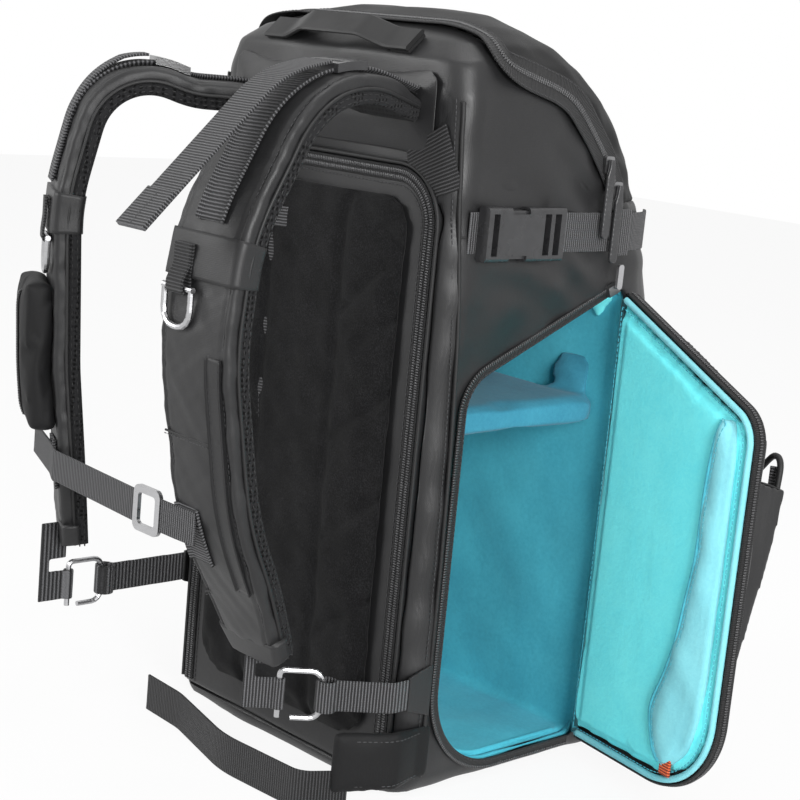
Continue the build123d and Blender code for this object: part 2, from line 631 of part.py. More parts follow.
# --- load lifters with their ladder buckles; the left one's tail hangs loose, the right one's lies back ---
LOOSE_TAIL = [(70, 27), (104, 19), (192, -68)]  # out from the harness face, up from the yoke's middle
TAIL_BEND = 70.0
LADDER = (48, 70)  # ladder buckle, out from the harness face
LADDER_HALF = 16.0
LADDER_THICK = 5.0
LADDER_SLOT = 3.2
lifter_x = (STRAP_X - LIFTER_WEB / 2, STRAP_X + LIFTER_WEB / 2)
ladder_y = (BACK - LADDER[1], BACK - LADDER[0])
webs = []
ladders = []
for side, path in paths.items():
    band_top = BAND_Z[side] + BAND_HEIGHT / 2 + 2
    low = STRAP_PAD + WEB
    high = low + LADDER_THICK
    sewn = strap_layer(path, *lifter_x, STRAP_PAD, low)
    webs.append(placed(between(sewn, band_top, HEIGHT), side))
    ladder = strap_layer(path, STRAP_X - LADDER_HALF, STRAP_X + LADDER_HALF, low, high)
    ladder &= block(0, WIDTH, *ladder_y, 0, HEIGHT)
    for slot_y in (ladder_y[0] + 6, ladder_y[1] - 6):
        ladder -= block(*lifter_x, slot_y - LADDER_SLOT / 2, slot_y + LADDER_SLOT / 2, 0, HEIGHT)
    ladders.append(placed(ladder, side))
lying = between(strap_layer(paths[-1], *lifter_x, high, high + WEB), band_top, HEIGHT, reach=LADDER[0] + 4)
webs.append(placed(lying, -1))
run = FilletPolyline(*[(STRAP_X, BACK - out, YOKE_Z + up) for out, up in LOOSE_TAIL], radius=TAIL_BEND)
section = Plane(origin=run @ 0, x_dir=(1, 0, 0), z_dir=run % 0) * Rectangle(LIFTER_WEB, WEB)
webs.append(sweep(section, run))
save("load_lifters", *webs)
save("lifter_buckles", *ladders)

# --- phone pocket on the right strap, with a cord pull on its zip ---
PHONE_TALL = 96.0
PHONE_DROP = 127.0  # from the yoke's middle to the pocket's top
PHONE_TOP = YOKE_Z - PHONE_DROP
PHONE_SPAN = (PHONE_TOP - PHONE_TALL, PHONE_TOP)
PHONE_DEEP = 17.0
PHONE_SIDE = 27.0  # from the strap's middle to the pocket's inner edge
PHONE_PULL = 30.0
PHONE_HEM = 8.0
phone = strap_layer(paths[-1], STRAP_X - PHONE_SIDE, STRAP_OUT, STRAP_PAD, STRAP_PAD + PHONE_DEEP)
phone = between(phone, *PHONE_SPAN)
save("phone_pocket", placed(phone, -1))
phone_x = STRAP_X - 6
pull_top = PHONE_TOP - PHONE_HEM
pull_z = (pull_top - PHONE_PULL, pull_top)
pull_zone = phone & block(0, WIDTH, -2 * DEPTH, BACK, *pull_z)
phone_y = pull_zone.bounding_box().min.Y - 0.2
phone_pull = block(phone_x - 2.5, phone_x + 2.5, phone_y - 2, phone_y, *pull_z)
save("phone_pocket_pull", placed(phone_pull, -1))

# --- sternum strap between the two pads, closed by a flat hook ---
STERNUM_Z = 178.0
RAIL_HEIGHT = 34.0
RAIL_WIDTH = 22.0
RAIL_X = STRAP_IN + 4
HOOK_X = (4.0, 30.0)
rails = {}
rail_out = {}
for side, path in paths.items():
    rail = strap_layer(path, RAIL_X, RAIL_X + RAIL_WIDTH, STRAP_PAD, STRAP_PAD + WEB)
    rail = between(rail, STERNUM_Z - RAIL_HEIGHT / 2, STERNUM_Z + RAIL_HEIGHT / 2)
    rails[side] = placed(rail, side)
    near = between(rail, STERNUM_Z - STERNUM_WEB / 2, STERNUM_Z + STERNUM_WEB / 2)
    rail_out[side] = near.bounding_box().min.Y - 0.2 - WEB / 2
save("sternum_rails", *rails.values())
left_web = Line((RAIL_X + RAIL_WIDTH - 2, rail_out[1], 0), (HOOK_X[1] + RUN, rail_out[1], 0))
save("sternum_strap_left", upright_band(Wire(left_web.edges()), STERNUM_WEB, STERNUM_Z))
right_web = FilletPolyline(
    strap_spot(STRAP_X + 40, rail_out[-1] - 6, -1),
    strap_spot(RAIL_X + 10, rail_out[-1], -1),
    strap_spot(STRAP_IN - 3, rail_out[-1], -1),
    (HOOK_X[0] - RUN, rail_out[1]),
    radius=[60, 6],
)
save("sternum_strap_right", upright_band(right_web, STERNUM_WEB, STERNUM_Z))
hook_length = HOOK_X[1] - HOOK_X[0]
hook_face = Rectangle(hook_length, STERNUM_WEB + 8)
hook_hole = Rectangle(hook_length - 9, STERNUM_WEB - 1)
hook_plate = fillet(hook_face.vertices(), 5) - fillet(hook_hole.vertices(), 2.5)
hook_y = rail_out[1]
save("sternum_hook", Pos(sum(HOOK_X) / 2, 0, STERNUM_Z) * in_back(hook_plate, hook_y - 1.5, hook_y + 1.1))

# --- lower straps: corner tab, webbing, aluminium hook and the pad's own end webbing ---
HOOK_BAR = 30.0
HOOK_REACH = 26.0
HOOK_MOUTH = 8.0
TAB_HALF = 17.0
TAB_SKIN = 2.0
LOWER_WEB = 20.0
SLACK_EYE = 5.0  # the lower webbing's slack loop round the hook's far bar
SLACK_SHIFT = 2.6
TAB_Z = {1: 71, -1: 88}
NEAR_BAR = {1: (74, BACK - 66), -1: (118, BACK - 92)}  # the hook's bar next to the pad


def open_hook():
    """A hook of round wire in the XZ plane: a bar through the origin and a bow with a mouth beside it."""
    w = HOOK_BAR / 2
    far = -HOOK_REACH
    return bent_wire([(-w, 0, 0), (w, 0, 0), (w, 0, far), (-w, 0, far), (-w, 0, -HOOK_MOUTH)], [3, 7, 7])


def lower_strap(side, path):
    """Tab, lower webbing and pad webbing of one side, drawn on +X; the hook is saved here."""
    tab_z = TAB_Z[side]
    rise = TAB_HALF - 6
    tab_back = BACK + BACK_CORNER + 1
    tab_tip = BACK + 2
    corners = ((tab_back, TAB_HALF), (tab_back, -TAB_HALF), (tab_tip, -rise), (tab_tip, rise))
    tab_face = make_face(Polyline(*[(y, tab_z + z) for y, z in corners], close=True))
    tab = in_side(tab_face, HALF, HALF + TAB_SKIN)
    bar_x, bar_y = NEAR_BAR[side]
    end_x = HALF + TAB_SKIN / 2
    end_y = tab_tip - 12
    length = math.hypot(end_x - bar_x, end_y - bar_y)
    dx, dy = (end_x - bar_x) / length, (end_y - bar_y) / length
    place = Plane(origin=(bar_x, bar_y, tab_z), x_dir=(0, 0, 1), z_dir=(-dx, -dy, 0))
    save(f"strap_hook_{NAMES[side]}", flipped(place * open_hook(), side))
    far_x = bar_x + dx * (HOOK_REACH + SLACK_SHIFT)
    far_y = bar_y + dy * (HOOK_REACH + SLACK_SHIFT)
    low = tab_z - LOWER_WEB / 2
    slack = Pos(far_x, far_y, low) * extrude(Circle(SLACK_EYE + WEB) - Circle(SLACK_EYE), LOWER_WEB)
    off = SLACK_EYE + WEB / 2
    start = (far_x + dx * off, far_y + dy * off, 0)
    run = FilletPolyline(start, (end_x, end_y, 0), (end_x, tab_tip, 0), radius=10)
    lower = slack + upright_band(run, LOWER_WEB, tab_z)
    eye = Pos(bar_x, bar_y, low) * extrude(Circle(EYE + WEB) - Circle(EYE), LOWER_WEB)
    reach = EYE + WEB / 2
    tail = Line((bar_x - dx * 22, bar_y - dy * 22, 0), (bar_x - dx * reach, bar_y - dy * reach, 0))
    top = (path @ 1).Z + 12
    web = upright_band(Wire(tail.edges()), top - low, (top + low) / 2)
    notch = Line((bar_x - dx * 15, bar_y - dy * 15, 0), (bar_x + dx * 2, bar_y + dy * 2, 0))
    notch_z = (low + LOWER_WEB, tab_z + HOOK_BAR / 2 + RING_WIRE)
    web -= upright_band(Wire(notch.edges()), notch_z[1] - notch_z[0], sum(notch_z) / 2, 4 * WEB)
    web -= turned(strap_layer(path, STRAP_IN, STRAP_OUT, -STRAP_MESH, STRAP_PAD), side)
    web = (web + eye).solids().sort_by(SortBy.VOLUME)[-1]
    return [flipped(shape, side) for shape in (tab, lower, web)]


tabs, lowers, ends = zip(*[lower_strap(side, path) for side, path in paths.items()])
save("corner_tabs", *tabs)
save("lower_straps", *lowers)
save("strap_end_webbing", *ends)

# --- hip fins and the waist belt's webbing ---
FIN_HEIGHT = 40.0
FIN_THICK = 8.0
FIN_Z = 31.0
FIN_FOLDED = 68.0
FIN_BACK = BACK + BACK_CORNER + 6
fin_x = HALF + FIN_THICK / 2
fin_path = FilletPolyline((fin_x, FIN_BACK, 0), (fin_x, BACK - 6, 0), (fin_x - 20, BACK - 42, 0), radius=30)
fin = upright_band(fin_path, FIN_HEIGHT, FIN_Z, FIN_THICK)
# the right fin is folded back along its side
folded_path = Line((fin_x, FIN_BACK, 0), (fin_x, FIN_BACK + FIN_FOLDED, 0))
folded_fin = upright_band(Wire(folded_path.edges()), FIN_HEIGHT, FIN_Z, FIN_THICK)
save("hip_fins", fin, mirrored(folded_fin))
tip = fin_path @ 1
heading = fin_path % 1
belt_path = FilletPolyline(
    (tip.X, tip.Y, 0),
    (tip.X + heading.X * 18, tip.Y + heading.Y * 18, 0),
    (20, BACK - 62, 0),
    (-50, BACK - 44, 0),
    (-88, BACK - 42, 0),
    radius=[15, 90, 60],
)
save("waist_belt", upright_band(belt_path, BELT_WEB, BELT_WEB / 2))

# --- lid zip: two sliders at the foot of the seam, each with a long pull ---
SLIDER_WIDTH = 8.0
SLIDER_THICK = 4.0
SLIDER_TALL = 11.0
PULL_LENGTH = 50.0
PULL_WIDTH = 7.0
PULL_THICK = 2.6
SLIDER_UP = (12.0, 31.0)  # along the seam from its foot
seam_foot = Vector(0, FRONT - LID_SEAM_FRONT, LID_FOOT)
seam_bend = Vector(0, FRONT - LID_SEAM_MID, HEIGHT - LID_SEAM_FALL)
seam_rise = (seam_bend - seam_foot).normalized()
seam_side = Vector(0, -seam_rise.Z, seam_rise.Y)  # level with the body's tape
slider_x = (HALF + TAPE, HALF + TAPE + SLIDER_THICK)
pull_x = (slider_x[1] + RUN, slider_x[1] + RUN + PULL_THICK)
slider_solids = []
for number, up in enumerate(SLIDER_UP, 1):
    spot = seam_foot + seam_rise * up + seam_side * (TAPE_WIDTH / 2)
    slider_face = Pos(spot.Y, spot.Z) * fillet(Rectangle(SLIDER_WIDTH, SLIDER_TALL).vertices(), 1.5)
    slider_solids.append(in_side(slider_face, *slider_x))
    pull_outline = fillet(Rectangle(PULL_WIDTH, PULL_LENGTH).vertices(), 2.5)
    pull_face = Pos(spot.Y, spot.Z + 4 - PULL_LENGTH / 2) * pull_outline
    save(f"lid_zip_pull_{number}", in_side(pull_face, *pull_x))
save("lid_zip_sliders", *slider_solids)

# --- door zip slider on the opening's slanted top edge ---
DOOR_SLIDER_BACK = 18.0  # from the hinge line along the top edge
slope = math.atan2(DOOR_HINGE_TOP - DOOR_CLOSE_TOP, DOOR_WIDTH)
edge_y = HINGE_Y - DOOR_SLIDER_BACK
edge_z = DOOR_HINGE_TOP - DOOR_SLIDER_BACK * math.tan(slope)
slider_face = Pos(edge_y, edge_z) * Rot(0, 0, math.degrees(slope)) * Pos(0, 4.2) * Rectangle(10, 6.4)
save("door_zip_slider", in_side(slider_face, HALF + TAPE + 0.2, slider_x[1]))
pull_face = Pos(edge_y, edge_z + 12.5) * fillet(Rectangle(5, 16).vertices(), 2)
save("door_zip_pull", in_side(pull_face, slider_x[1] + RUN, slider_x[1] + RUN + 2))

# --- pull of the zip inside the door ---
INNER_PULL = 38.0
INNER_PULL_Y = HINGE_Y - 104
inner_x = HALF - DOOR_THICK - POCKET_SKIN - 0.2
inner_pull = block(inner_x - 2, inner_x, INNER_PULL_Y, INNER_PULL_Y + 5, 24, 24 + INNER_PULL)
save("door_pocket_pull", swung(inner_pull))

# --- cord lock on the bottle pocket's hem ---
lock_y = sum(bottle_y) / 2
lock_x = HALF + BOTTLE_DEPTH
lock = block(lock_x - 3, lock_x + 9, lock_y - 6, lock_y + 6, BOTTLE_TOP - 34, BOTTLE_TOP - 16)
save("pocket_cord_lock", swung(lock - wedge(0)))
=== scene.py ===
import bpy
import bmesh
import math
import numpy as np
from mathutils import Vector, Matrix
from mathutils.bvhtree import BVHTree


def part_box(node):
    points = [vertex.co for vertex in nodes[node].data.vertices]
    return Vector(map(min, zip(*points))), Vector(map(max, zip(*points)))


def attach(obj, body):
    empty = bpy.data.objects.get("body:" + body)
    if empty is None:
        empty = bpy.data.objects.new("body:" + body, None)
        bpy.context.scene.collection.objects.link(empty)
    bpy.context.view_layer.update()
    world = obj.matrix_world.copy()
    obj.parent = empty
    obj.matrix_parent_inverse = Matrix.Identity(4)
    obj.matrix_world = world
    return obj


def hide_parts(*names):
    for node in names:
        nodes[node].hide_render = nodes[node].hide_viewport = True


# Looks of the camera backpack. Metres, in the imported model's frame: +Z up, harness on -Y, side door on +X.
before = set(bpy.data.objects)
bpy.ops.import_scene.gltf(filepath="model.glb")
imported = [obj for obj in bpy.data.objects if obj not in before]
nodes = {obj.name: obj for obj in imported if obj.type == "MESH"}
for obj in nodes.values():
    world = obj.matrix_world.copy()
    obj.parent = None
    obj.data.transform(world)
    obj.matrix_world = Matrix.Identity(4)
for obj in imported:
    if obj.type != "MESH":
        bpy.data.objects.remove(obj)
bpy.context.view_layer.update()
MM = 0.001

# --- sizes that the soft pieces share with the CAD model ---
HALF, BACK = 0.115, -0.111  # half the body's width, and the plane of the harness side
HINGE_Y = 0.058
DOOR_OPEN = math.radians(80)
STRAP_X, STRAP_HALF = 0.069, 0.031
YOKE_Z = 0.420
STERNUM_Z = 0.178
PANEL_TOP, PANEL_HALF, PANEL_RADIUS, PANEL_FOOT = 0.389, 0.103, 0.034, 0.012
BAND_HALF = 0.013  # half the height of the elastic band on a strap
WEB_WIDTH, WEB_THICK = 0.025, 0.0016
COVER_WIDTH, COVER_FOOT, COVER_TOP = 0.062, 0.0035, 0.0139  # a strap's cover, out from the strap's route
# strap routes in millimetres: out from the harness and up from the yoke, then heights from the ground
ARCH = {
    1: [(5, 0), (52, 12), (92, -2), (128, -70), (134, -135)],
    -1: [(-12, -8), (48, -8), (97, 8), (116, -76), (111, -180)],
}
FALL = {1: [(116, 190), (72, 100)], -1: [(98, 120)]}
BENDS = {1: [70, 60, 120, 160, 200], -1: [60, 34, 150, 200]}
TURN = {1: 0.0, -1: math.radians(28)}
BAND_Z = {1: 0.335, -1: 0.338}
SIDES = {1: "left", -1: "right"}
# --- sizes of the details, and the pitches that the meshes are made at ---
PITCH = 0.002  # points along a seam, zip or strap
COIL_PITCH, COIL_WIDTH, COIL_RADIUS = 0.0017, 0.0024, 0.0007
STITCH_PITCH, STITCH_LENGTH, STITCH_RADIUS, FINE_RADIUS = 0.0034, 0.0026, 0.00038, 0.00036
REARWARD = (0, -1.0, 0)
FILL = 0.6  # how full the padded pieces are
SHELL_VOXEL = 0.0025
BODY_PANELS = ("side_panel_left", "side_panel_right", "front_panel", "yoke_panel", "base_panel")


# --- small geometry helpers ---
def rounded(points, radii, closed=False, step=0.0015):
    """A polyline with rounded corners, as an array of points; radii are one per corner."""
    points = [np.array(p, float) for p in points]
    count = len(points)
    corners = range(count) if closed else range(1, count - 1)
    out = [] if closed else [points[0]]
    for i, radius in zip(corners, radii):
        a, b, c = points[i - 1], points[i], points[(i + 1) % count]
        u, v = (a - b) / np.linalg.norm(a - b), (c - b) / np.linalg.norm(c - b)
        half = math.acos(max(-1, min(1, float(u @ v)))) / 2
        if half > math.pi / 2 - 1e-3:
            out.append(b)
            continue
        reach = radius / math.tan(half)
        middle = b + (u + v) / np.linalg.norm(u + v) * radius / math.sin(half)
        start, end = b + u * reach - middle, b + v * reach - middle
        angle = math.pi - 2 * half
        steps = max(3, int(radius * angle / step))
        for k in range(steps + 1):
            t = k / steps
            swing = start * math.sin((1 - t) * angle) + end * math.sin(t * angle)
            out.append(middle + swing / math.sin(angle))
    if not closed:
        out.append(points[-1])
    return np.array(out)


def resample(points, pitch, closed=False):
    """Points a fixed distance apart along a polyline."""
    points = np.array(points, float)
    if closed:
        points = np.vstack([points, points[:1]])
    run = distances(points)
    count = max(2, int(round(run[-1] / pitch)) + (0 if closed else 1))
    at = np.linspace(0, run[-1], count, endpoint=not closed)
    return np.stack([np.interp(at, run, points[:, i]) for i in range(points.shape[1])], axis=1)


def spline(points, pitch=PITCH):
    """A smooth curve through a few points."""
    points = np.array(points, float)
    ends = np.vstack([2 * points[0] - points[1], points, 2 * points[-1] - points[-2]])
    out = []
    for i in range(1, len(ends) - 2):
        p0, p1, p2, p3 = ends[i - 1 : i + 3]
        for t in np.linspace(0, 1, 16, endpoint=False):
            square, cube = 2 * p0 - 5 * p1 + 4 * p2 - p3, 3 * p1 - p0 - 3 * p2 + p3
            out.append(0.5 * (2 * p1 + (p2 - p0) * t + square * t * t + cube * t**3))
    return resample(np.array(out + [points[-1]]), pitch)


def distances(points):
    """How far along a polyline each point is."""
    return np.concatenate([[0], np.cumsum(np.linalg.norm(np.diff(points, axis=0), axis=1))])


def tangents(points, closed=False):
    if closed:
        t = np.roll(points, -1, 0) - np.roll(points, 1, 0)
    else:
        t = np.gradient(points, axis=0)
    return t / np.maximum(np.linalg.norm(t, axis=1, keepdims=True), 1e-12)


def square_to(along, ups):
    """Outward directions made square to a path's own."""
    ups = ups - along * np.sum(ups * along, axis=1, keepdims=True)
    return ups / np.linalg.norm(ups, axis=1, keepdims=True)


def nearest_rows(path, rows, points):
    """For each point, the row that belongs to the path's nearest one."""
    return np.array([rows[np.argmin(np.sum((np.array(path) - p) ** 2, axis=1))] for p in points])


def swung(points):
    """Door points from its shut place to its open one."""
    hinge = np.array([HALF, HINGE_Y, 0])
    c, s = math.cos(DOOR_OPEN), math.sin(DOOR_OPEN)
    x, y, z = np.moveaxis(np.array(points, float) - hinge, -1, 0)
    return np.stack([x * c - y * s, x * s + y * c, z], axis=-1) + hinge


def waves(points, size, seed):
    """Smooth seeded unevenness between about -1 and 1."""
    rng = np.random.RandomState(seed)
    total = np.zeros(len(points))
    count = 9
    for _ in range(count):
        k = rng.normal(size=3)
        k *= rng.uniform(0.6, 1.7) * 2 * math.pi / size / np.linalg.norm(k)
        total += np.sin(points @ k + rng.uniform(0, 6.28))
    return total / math.sqrt(count)


# --- mesh helpers ---
def new_mesh(name, verts, faces, uvs=None):
    mesh = bpy.data.meshes.new(name)
    mesh.from_pydata([tuple(map(float, v)) for v in verts], [], faces)
    mesh.validate()
    if uvs is not None:
        layer = mesh.uv_layers.new(name="UVMap")
        flat = np.array([uvs[loop.vertex_index] for loop in mesh.loops], np.float32)
        layer.data.foreach_set("uv", flat.ravel())
    mesh.polygons.foreach_set("use_smooth", [True] * len(mesh.polygons))
    obj = bpy.data.objects.new(name, mesh)
    bpy.context.scene.collection.objects.link(obj)
    return obj


def coords(obj, what="co"):
    values = np.zeros(len(obj.data.vertices) * 3)
    obj.data.vertices.foreach_get(what, values)
    return values.reshape(-1, 3)


def normals(obj):
    return coords(obj, "normal")


def set_coords(obj, co):
    obj.data.vertices.foreach_set("co", np.ascontiguousarray(co).ravel())
    obj.data.update()


def push(obj, amount):
    """Moves each vertex along its normal."""
    set_coords(obj, coords(obj) + normals(obj) * np.asarray(amount)[:, None])


def applied(obj):
    """Bakes an object's modifiers into its mesh."""
    graph = bpy.context.evaluated_depsgraph_get()
    mesh = bpy.data.meshes.new_from_object(obj.evaluated_get(graph))
    obj.modifiers.clear()
    obj.data = mesh
    mesh.polygons.foreach_set("use_smooth", [True] * len(mesh.polygons))
    return obj


def solidified(obj, thick, offset):
    m = obj.modifiers.new("t", "SOLIDIFY")
    m.thickness = thick
    m.offset = offset
    return applied(obj)


def subdivided(obj):
    m = obj.modifiers.new("u", "SUBSURF")
    m.levels = m.render_levels = 1
    return applied(obj)


def remeshed(obj, voxel, smooth=2, factor=0.4):
    m = obj.modifiers.new("r", "REMESH")
    m.mode = "VOXEL"
    m.voxel_size = voxel
    m = obj.modifiers.new("s", "SMOOTH")
    m.iterations = smooth
    m.factor = factor
    return applied(obj)


def consistent(obj, merge=None):
    """Normals that all point out, after close points are merged."""
    bm = bmesh.new()
    bm.from_mesh(obj.data)
    if merge:
        bmesh.ops.remove_doubles(bm, verts=bm.verts, dist=merge)
    bmesh.ops.recalc_face_normals(bm, faces=bm.faces)
    bm.to_mesh(obj.data)
    bm.free()
    return obj


def cad_copy(name, *names):
    """A new object holding copies of CAD nodes' meshes."""
    verts, faces = [], []
    for n in names:
        base = len(verts)
        mesh = nodes[n].data
        verts += [v.co.copy() for v in mesh.vertices]
        faces += [[base + i for i in p.vertices] for p in mesh.polygons]
    return consistent(new_mesh(name, verts, faces), 2e-5)


def soft_copy(name, names, voxel, smooth):
    return remeshed(cad_copy(name, *names), voxel, smooth, 0.5)


def grid_faces(rows, columns):
    return [
        [i * columns + j, i * columns + j + 1, (i + 1) * columns + j + 1, (i + 1) * columns + j]
        for i in range(rows - 1) for j in range(columns - 1)
    ]


def sweep(name, path, section, ups, scale=None):
    """A section of (across, out) points swept along a path; ups are the outward directions."""
    path, ups = np.array(path, float), np.array(ups, float)
    along = tangents(path)
    ups = square_to(along, ups)
    across = np.cross(along, ups)
    section = np.array(section, float)
    n, m = len(path), len(section)
    scale = np.ones((n, 2)) if scale is None else np.array(scale)
    if section.ndim == 2:
        section = np.broadcast_to(section, (n, m, 2))
    else:
        m = section.shape[1]
    verts = (
        path[:, None]
        + across[:, None] * (section[:, :, :1] * scale[:, None, :1])
        + ups[:, None] * (section[:, :, 1:] * scale[:, None, 1:])
    )
    faces = []
    for i in range(n - 1):
        for j in range(m):
            a, b = i * m + j, i * m + (j + 1) % m
            faces.append([a, a + m, b + m, b])
    faces.append(list(range(m)))
    faces.append(list(range((n - 1) * m, n * m))[::-1])
    run = distances(path)
    uvs = [(section[i, j, 0], run[i]) for i in range(n) for j in range(m)]
    return new_mesh(name, verts.reshape(-1, 3), faces, uvs)


def rounded_section(width, thick, edge, steps, low=None, crown=0.0, fine=9):
    """A rounded slab's section, its outer face crowned; low is the inner face's height."""
    base = -thick / 2 if low is None else low
    top = base + thick
    w = width / 2
    r = min(thick / 2, edge) * 0.98
    pts = []
    right, high, deep = w - r, top - r, base + r
    for cx, cy, a0 in ((right, high, 0), (-right, high, 90), (-right, deep, 180), (right, deep, 270)):
        for k in range(steps + 1):
            a = math.radians(a0 + 90 * k / steps)
            pts.append((cx + r * math.cos(a), cy + r * math.sin(a)))
        if a0 == 0:
            for t in np.linspace(0.97, -0.97, fine):
                pts.append((t * right, top))
        if a0 == 180:
            for t in np.linspace(-0.8, 0.8, 5):
                pts.append((t * right, base))
    pts = np.array(pts)
    outer = pts[:, 1] > (base + top) / 2
    pts[outer, 1] += crown * np.maximum(0, 1 - (pts[outer, 0] / w) ** 2)
    return pts


def strap(name, path, ups, width=WEB_WIDTH, thick=WEB_THICK, low=None):
    """Webbing along a path, with slightly thicker selvedges."""
    section = rounded_section(width, thick, thick * 0.45, 2, low)
    section[np.abs(section[:, 0]) > width * 0.44, 1] *= 1.12
    return sweep(name, path, section, ups)


def piping(name, path, ups, radius):
    turn = np.linspace(0, 2 * math.pi, 8, endpoint=False)
    return sweep(name, path, [(radius * math.cos(a), radius * math.sin(a)) for a in turn], ups)


def facing(direction, path):
    """The same outward direction all along a path."""
    return np.tile(np.array(direction, float), (len(path), 1))


def upright_ups(path):
    """Outward directions of a path that runs up and down, away from the harness."""
    t = tangents(path)
    return np.stack([np.zeros(len(t)), t[:, 2], -t[:, 1]], axis=1)


def level_ups(path):
    """Outward directions of a path that runs level."""
    t = tangents(path)
    return np.stack([t[:, 1], -t[:, 0], 0 * t[:, 0]], axis=1)


def capsules(name, path, ups, pitch, length, radius, lift, across=0.0, flat=0.6, crosswise=False):
    """Short rounded threads laid along a path: stitches, or a coil's turns where they lie crosswise."""
    pts = resample(path, pitch)
    t = tangents(pts)
    up = square_to(t, nearest_rows(path, ups, pts))
    side = np.cross(t, up)
    rings = [(-0.5, 0.25), (-0.38, 0.85), (0.0, 1.0), (0.38, 0.85), (0.5, 0.25)]
    verts, faces = [], []
    for p, d, u, s in zip(pts, t, up, side):
        base = len(verts)
        centre = p + u * lift + s * across
        if crosswise:
            d, s = s, -d
        for along, r in rings:
            for k in range(6):
                a = math.pi * k / 3
                ring = s * math.cos(a) * r * radius + u * math.sin(a) * r * radius * flat
                verts.append(centre + d * along * length + ring)
        for i in range(len(rings) - 1):
            for k in range(6):
                a, b = base + i * 6 + k, base + i * 6 + (k + 1) % 6
                faces.append([a, a + 6, b + 6, b])
        faces.append([base + k for k in range(6)])
        faces.append([base + 24 + k for k in range(6)][::-1])
    return new_mesh(name, verts, faces)


def on_surface(tree, points, direction=None, offset=0.0):
    """Points dropped onto a surface, with its normals there."""
    out, ups = [], []
    for p in points:
        if direction is None:
            hit, normal, _, _ = tree.find_nearest(Vector(p))
        else:
            d = Vector(direction).normalized()
            hit, normal, _, _ = tree.ray_cast(Vector(p) - d * 0.3, d)
        if hit is None:
            continue
        out.append(np.array(hit) + np.array(normal) * offset)
        ups.append(np.array(normal))
    return np.array(out), np.array(ups)


def surface(obj):
    """A search tree over a finished mesh."""
    corners = [v.co.copy() for v in obj.data.vertices]
    return BVHTree.FromPolygons(corners, [list(p.vertices) for p in obj.data.polygons])


def smooth_rows(rows, times):
    """Each row evened out with its neighbours, the first and last held."""
    rows = np.array(rows, float)
    for _ in range(times):
        a, b = np.roll(rows, 1, 0), np.roll(rows, -1, 0)
        a[0], b[-1] = rows[0], rows[-1]
        rows = (a + 2 * rows + b) / 4
    return rows


# --- materials ---
def material(name, colour, rough, metal=0.0, sheen=0.0, spec=0.4):
    m = bpy.data.materials.new(name)
    m.use_nodes = True
    shader = m.node_tree.nodes["Principled BSDF"]
    shader.inputs["Base Color"].default_value = (*colour, 1)
    shader.inputs["Roughness"].default_value = rough
    shader.inputs["Metallic"].default_value = metal
    shader.inputs["Specular IOR Level"].default_value = spec
    shader.inputs["Sheen Weight"].default_value = sheen
    shader.inputs["Sheen Roughness"].default_value = 0.5
    return m


class Graph:
    """Short calls for building a material's nodes."""

    def __init__(self, mat):
        self.tree = mat.node_tree
        self.shader = self.tree.nodes["Principled BSDF"]
        self.coord = self.tree.nodes.new("ShaderNodeTexCoord")

    def node(self, kind, **values):
        n = self.tree.nodes.new(kind)
        for key, value in values.items():
            if key in n.inputs:
                n.inputs[key].default_value = value
            else:
                setattr(n, key, value)
        return n

    def link(self, a, b):
        self.tree.links.new(a, b)

    def noise(self, scale, detail, rough=0.55, vector=None):
        n = self.node("ShaderNodeTexNoise", Scale=scale, Detail=detail, Roughness=rough)
        self.link(vector if vector is not None else self.coord.outputs["Object"], n.inputs["Vector"])
        return n.outputs["Fac"]

    def scaled(self, source, xyz):
        n = self.node("ShaderNodeMapping", Scale=xyz)
        self.link(source, n.inputs["Vector"])
        return n.outputs["Vector"]

    def math(self, op, a, b=None):
        n = self.node("ShaderNodeMath", operation=op)
        for i, v in enumerate((a, b)):
            if v is None:
                continue
            if isinstance(v, (int, float)):
                n.inputs[i].default_value = v
            else:
                self.link(v, n.inputs[i])
        return n.outputs[0]

    def blend(self, a, share_a, b, share_b):
        return self.math("ADD", self.math("MULTIPLY", a, share_a), self.math("MULTIPLY", b, share_b))

    def ramp(self, source, stops):
        n = self.node("ShaderNodeValToRGB")
        while len(n.color_ramp.elements) < len(stops):
            n.color_ramp.elements.new(0.5)
        for e, (at, colour) in zip(n.color_ramp.elements, stops):
            e.position = at
            e.color = (*colour, 1)
        self.link(source, n.inputs["Fac"])
        return n.outputs["Color"]

    def range(self, source, low, high, a=0.0, b=1.0):
        ends = {"From Min": a, "From Max": b, "To Min": low, "To Max": high}
        n = self.node("ShaderNodeMapRange", **ends)
        self.link(source, n.inputs["Value"])
        return n.outputs["Result"]

    def bump(self, height, strength, distance, after=None):
        n = self.node("ShaderNodeBump", Strength=strength, Distance=distance)
        self.link(height, n.inputs["Height"])
        if after is not None:
            self.link(after, n.inputs["Normal"])
        return n.outputs["Normal"]

    def colour(self, out):
        self.link(out, self.shader.inputs["Base Color"])

    def rough(self, out):
        self.link(out, self.shader.inputs["Roughness"])

    def normal(self, out):
        self.link(out, self.shader.inputs["Normal"])


def weave_height(g, pitch, vector):
    """Threads over and under, from a place in metres."""
    parts = g.node("ShaderNodeSeparateXYZ")
    g.link(vector, parts.inputs[0])
    k = 2 * math.pi / pitch
    x, y, z = [g.math("SINE", g.math("MULTIPLY", parts.outputs[i], k)) for i in range(3)]
    pairs = [g.math("MULTIPLY", *pair) for pair in ((x, y), (y, z), (x, z))]
    return g.math("ADD", g.math("ADD", *pairs[:2]), pairs[2])


def dimmed(colour, share):
    return [c * share for c in colour]


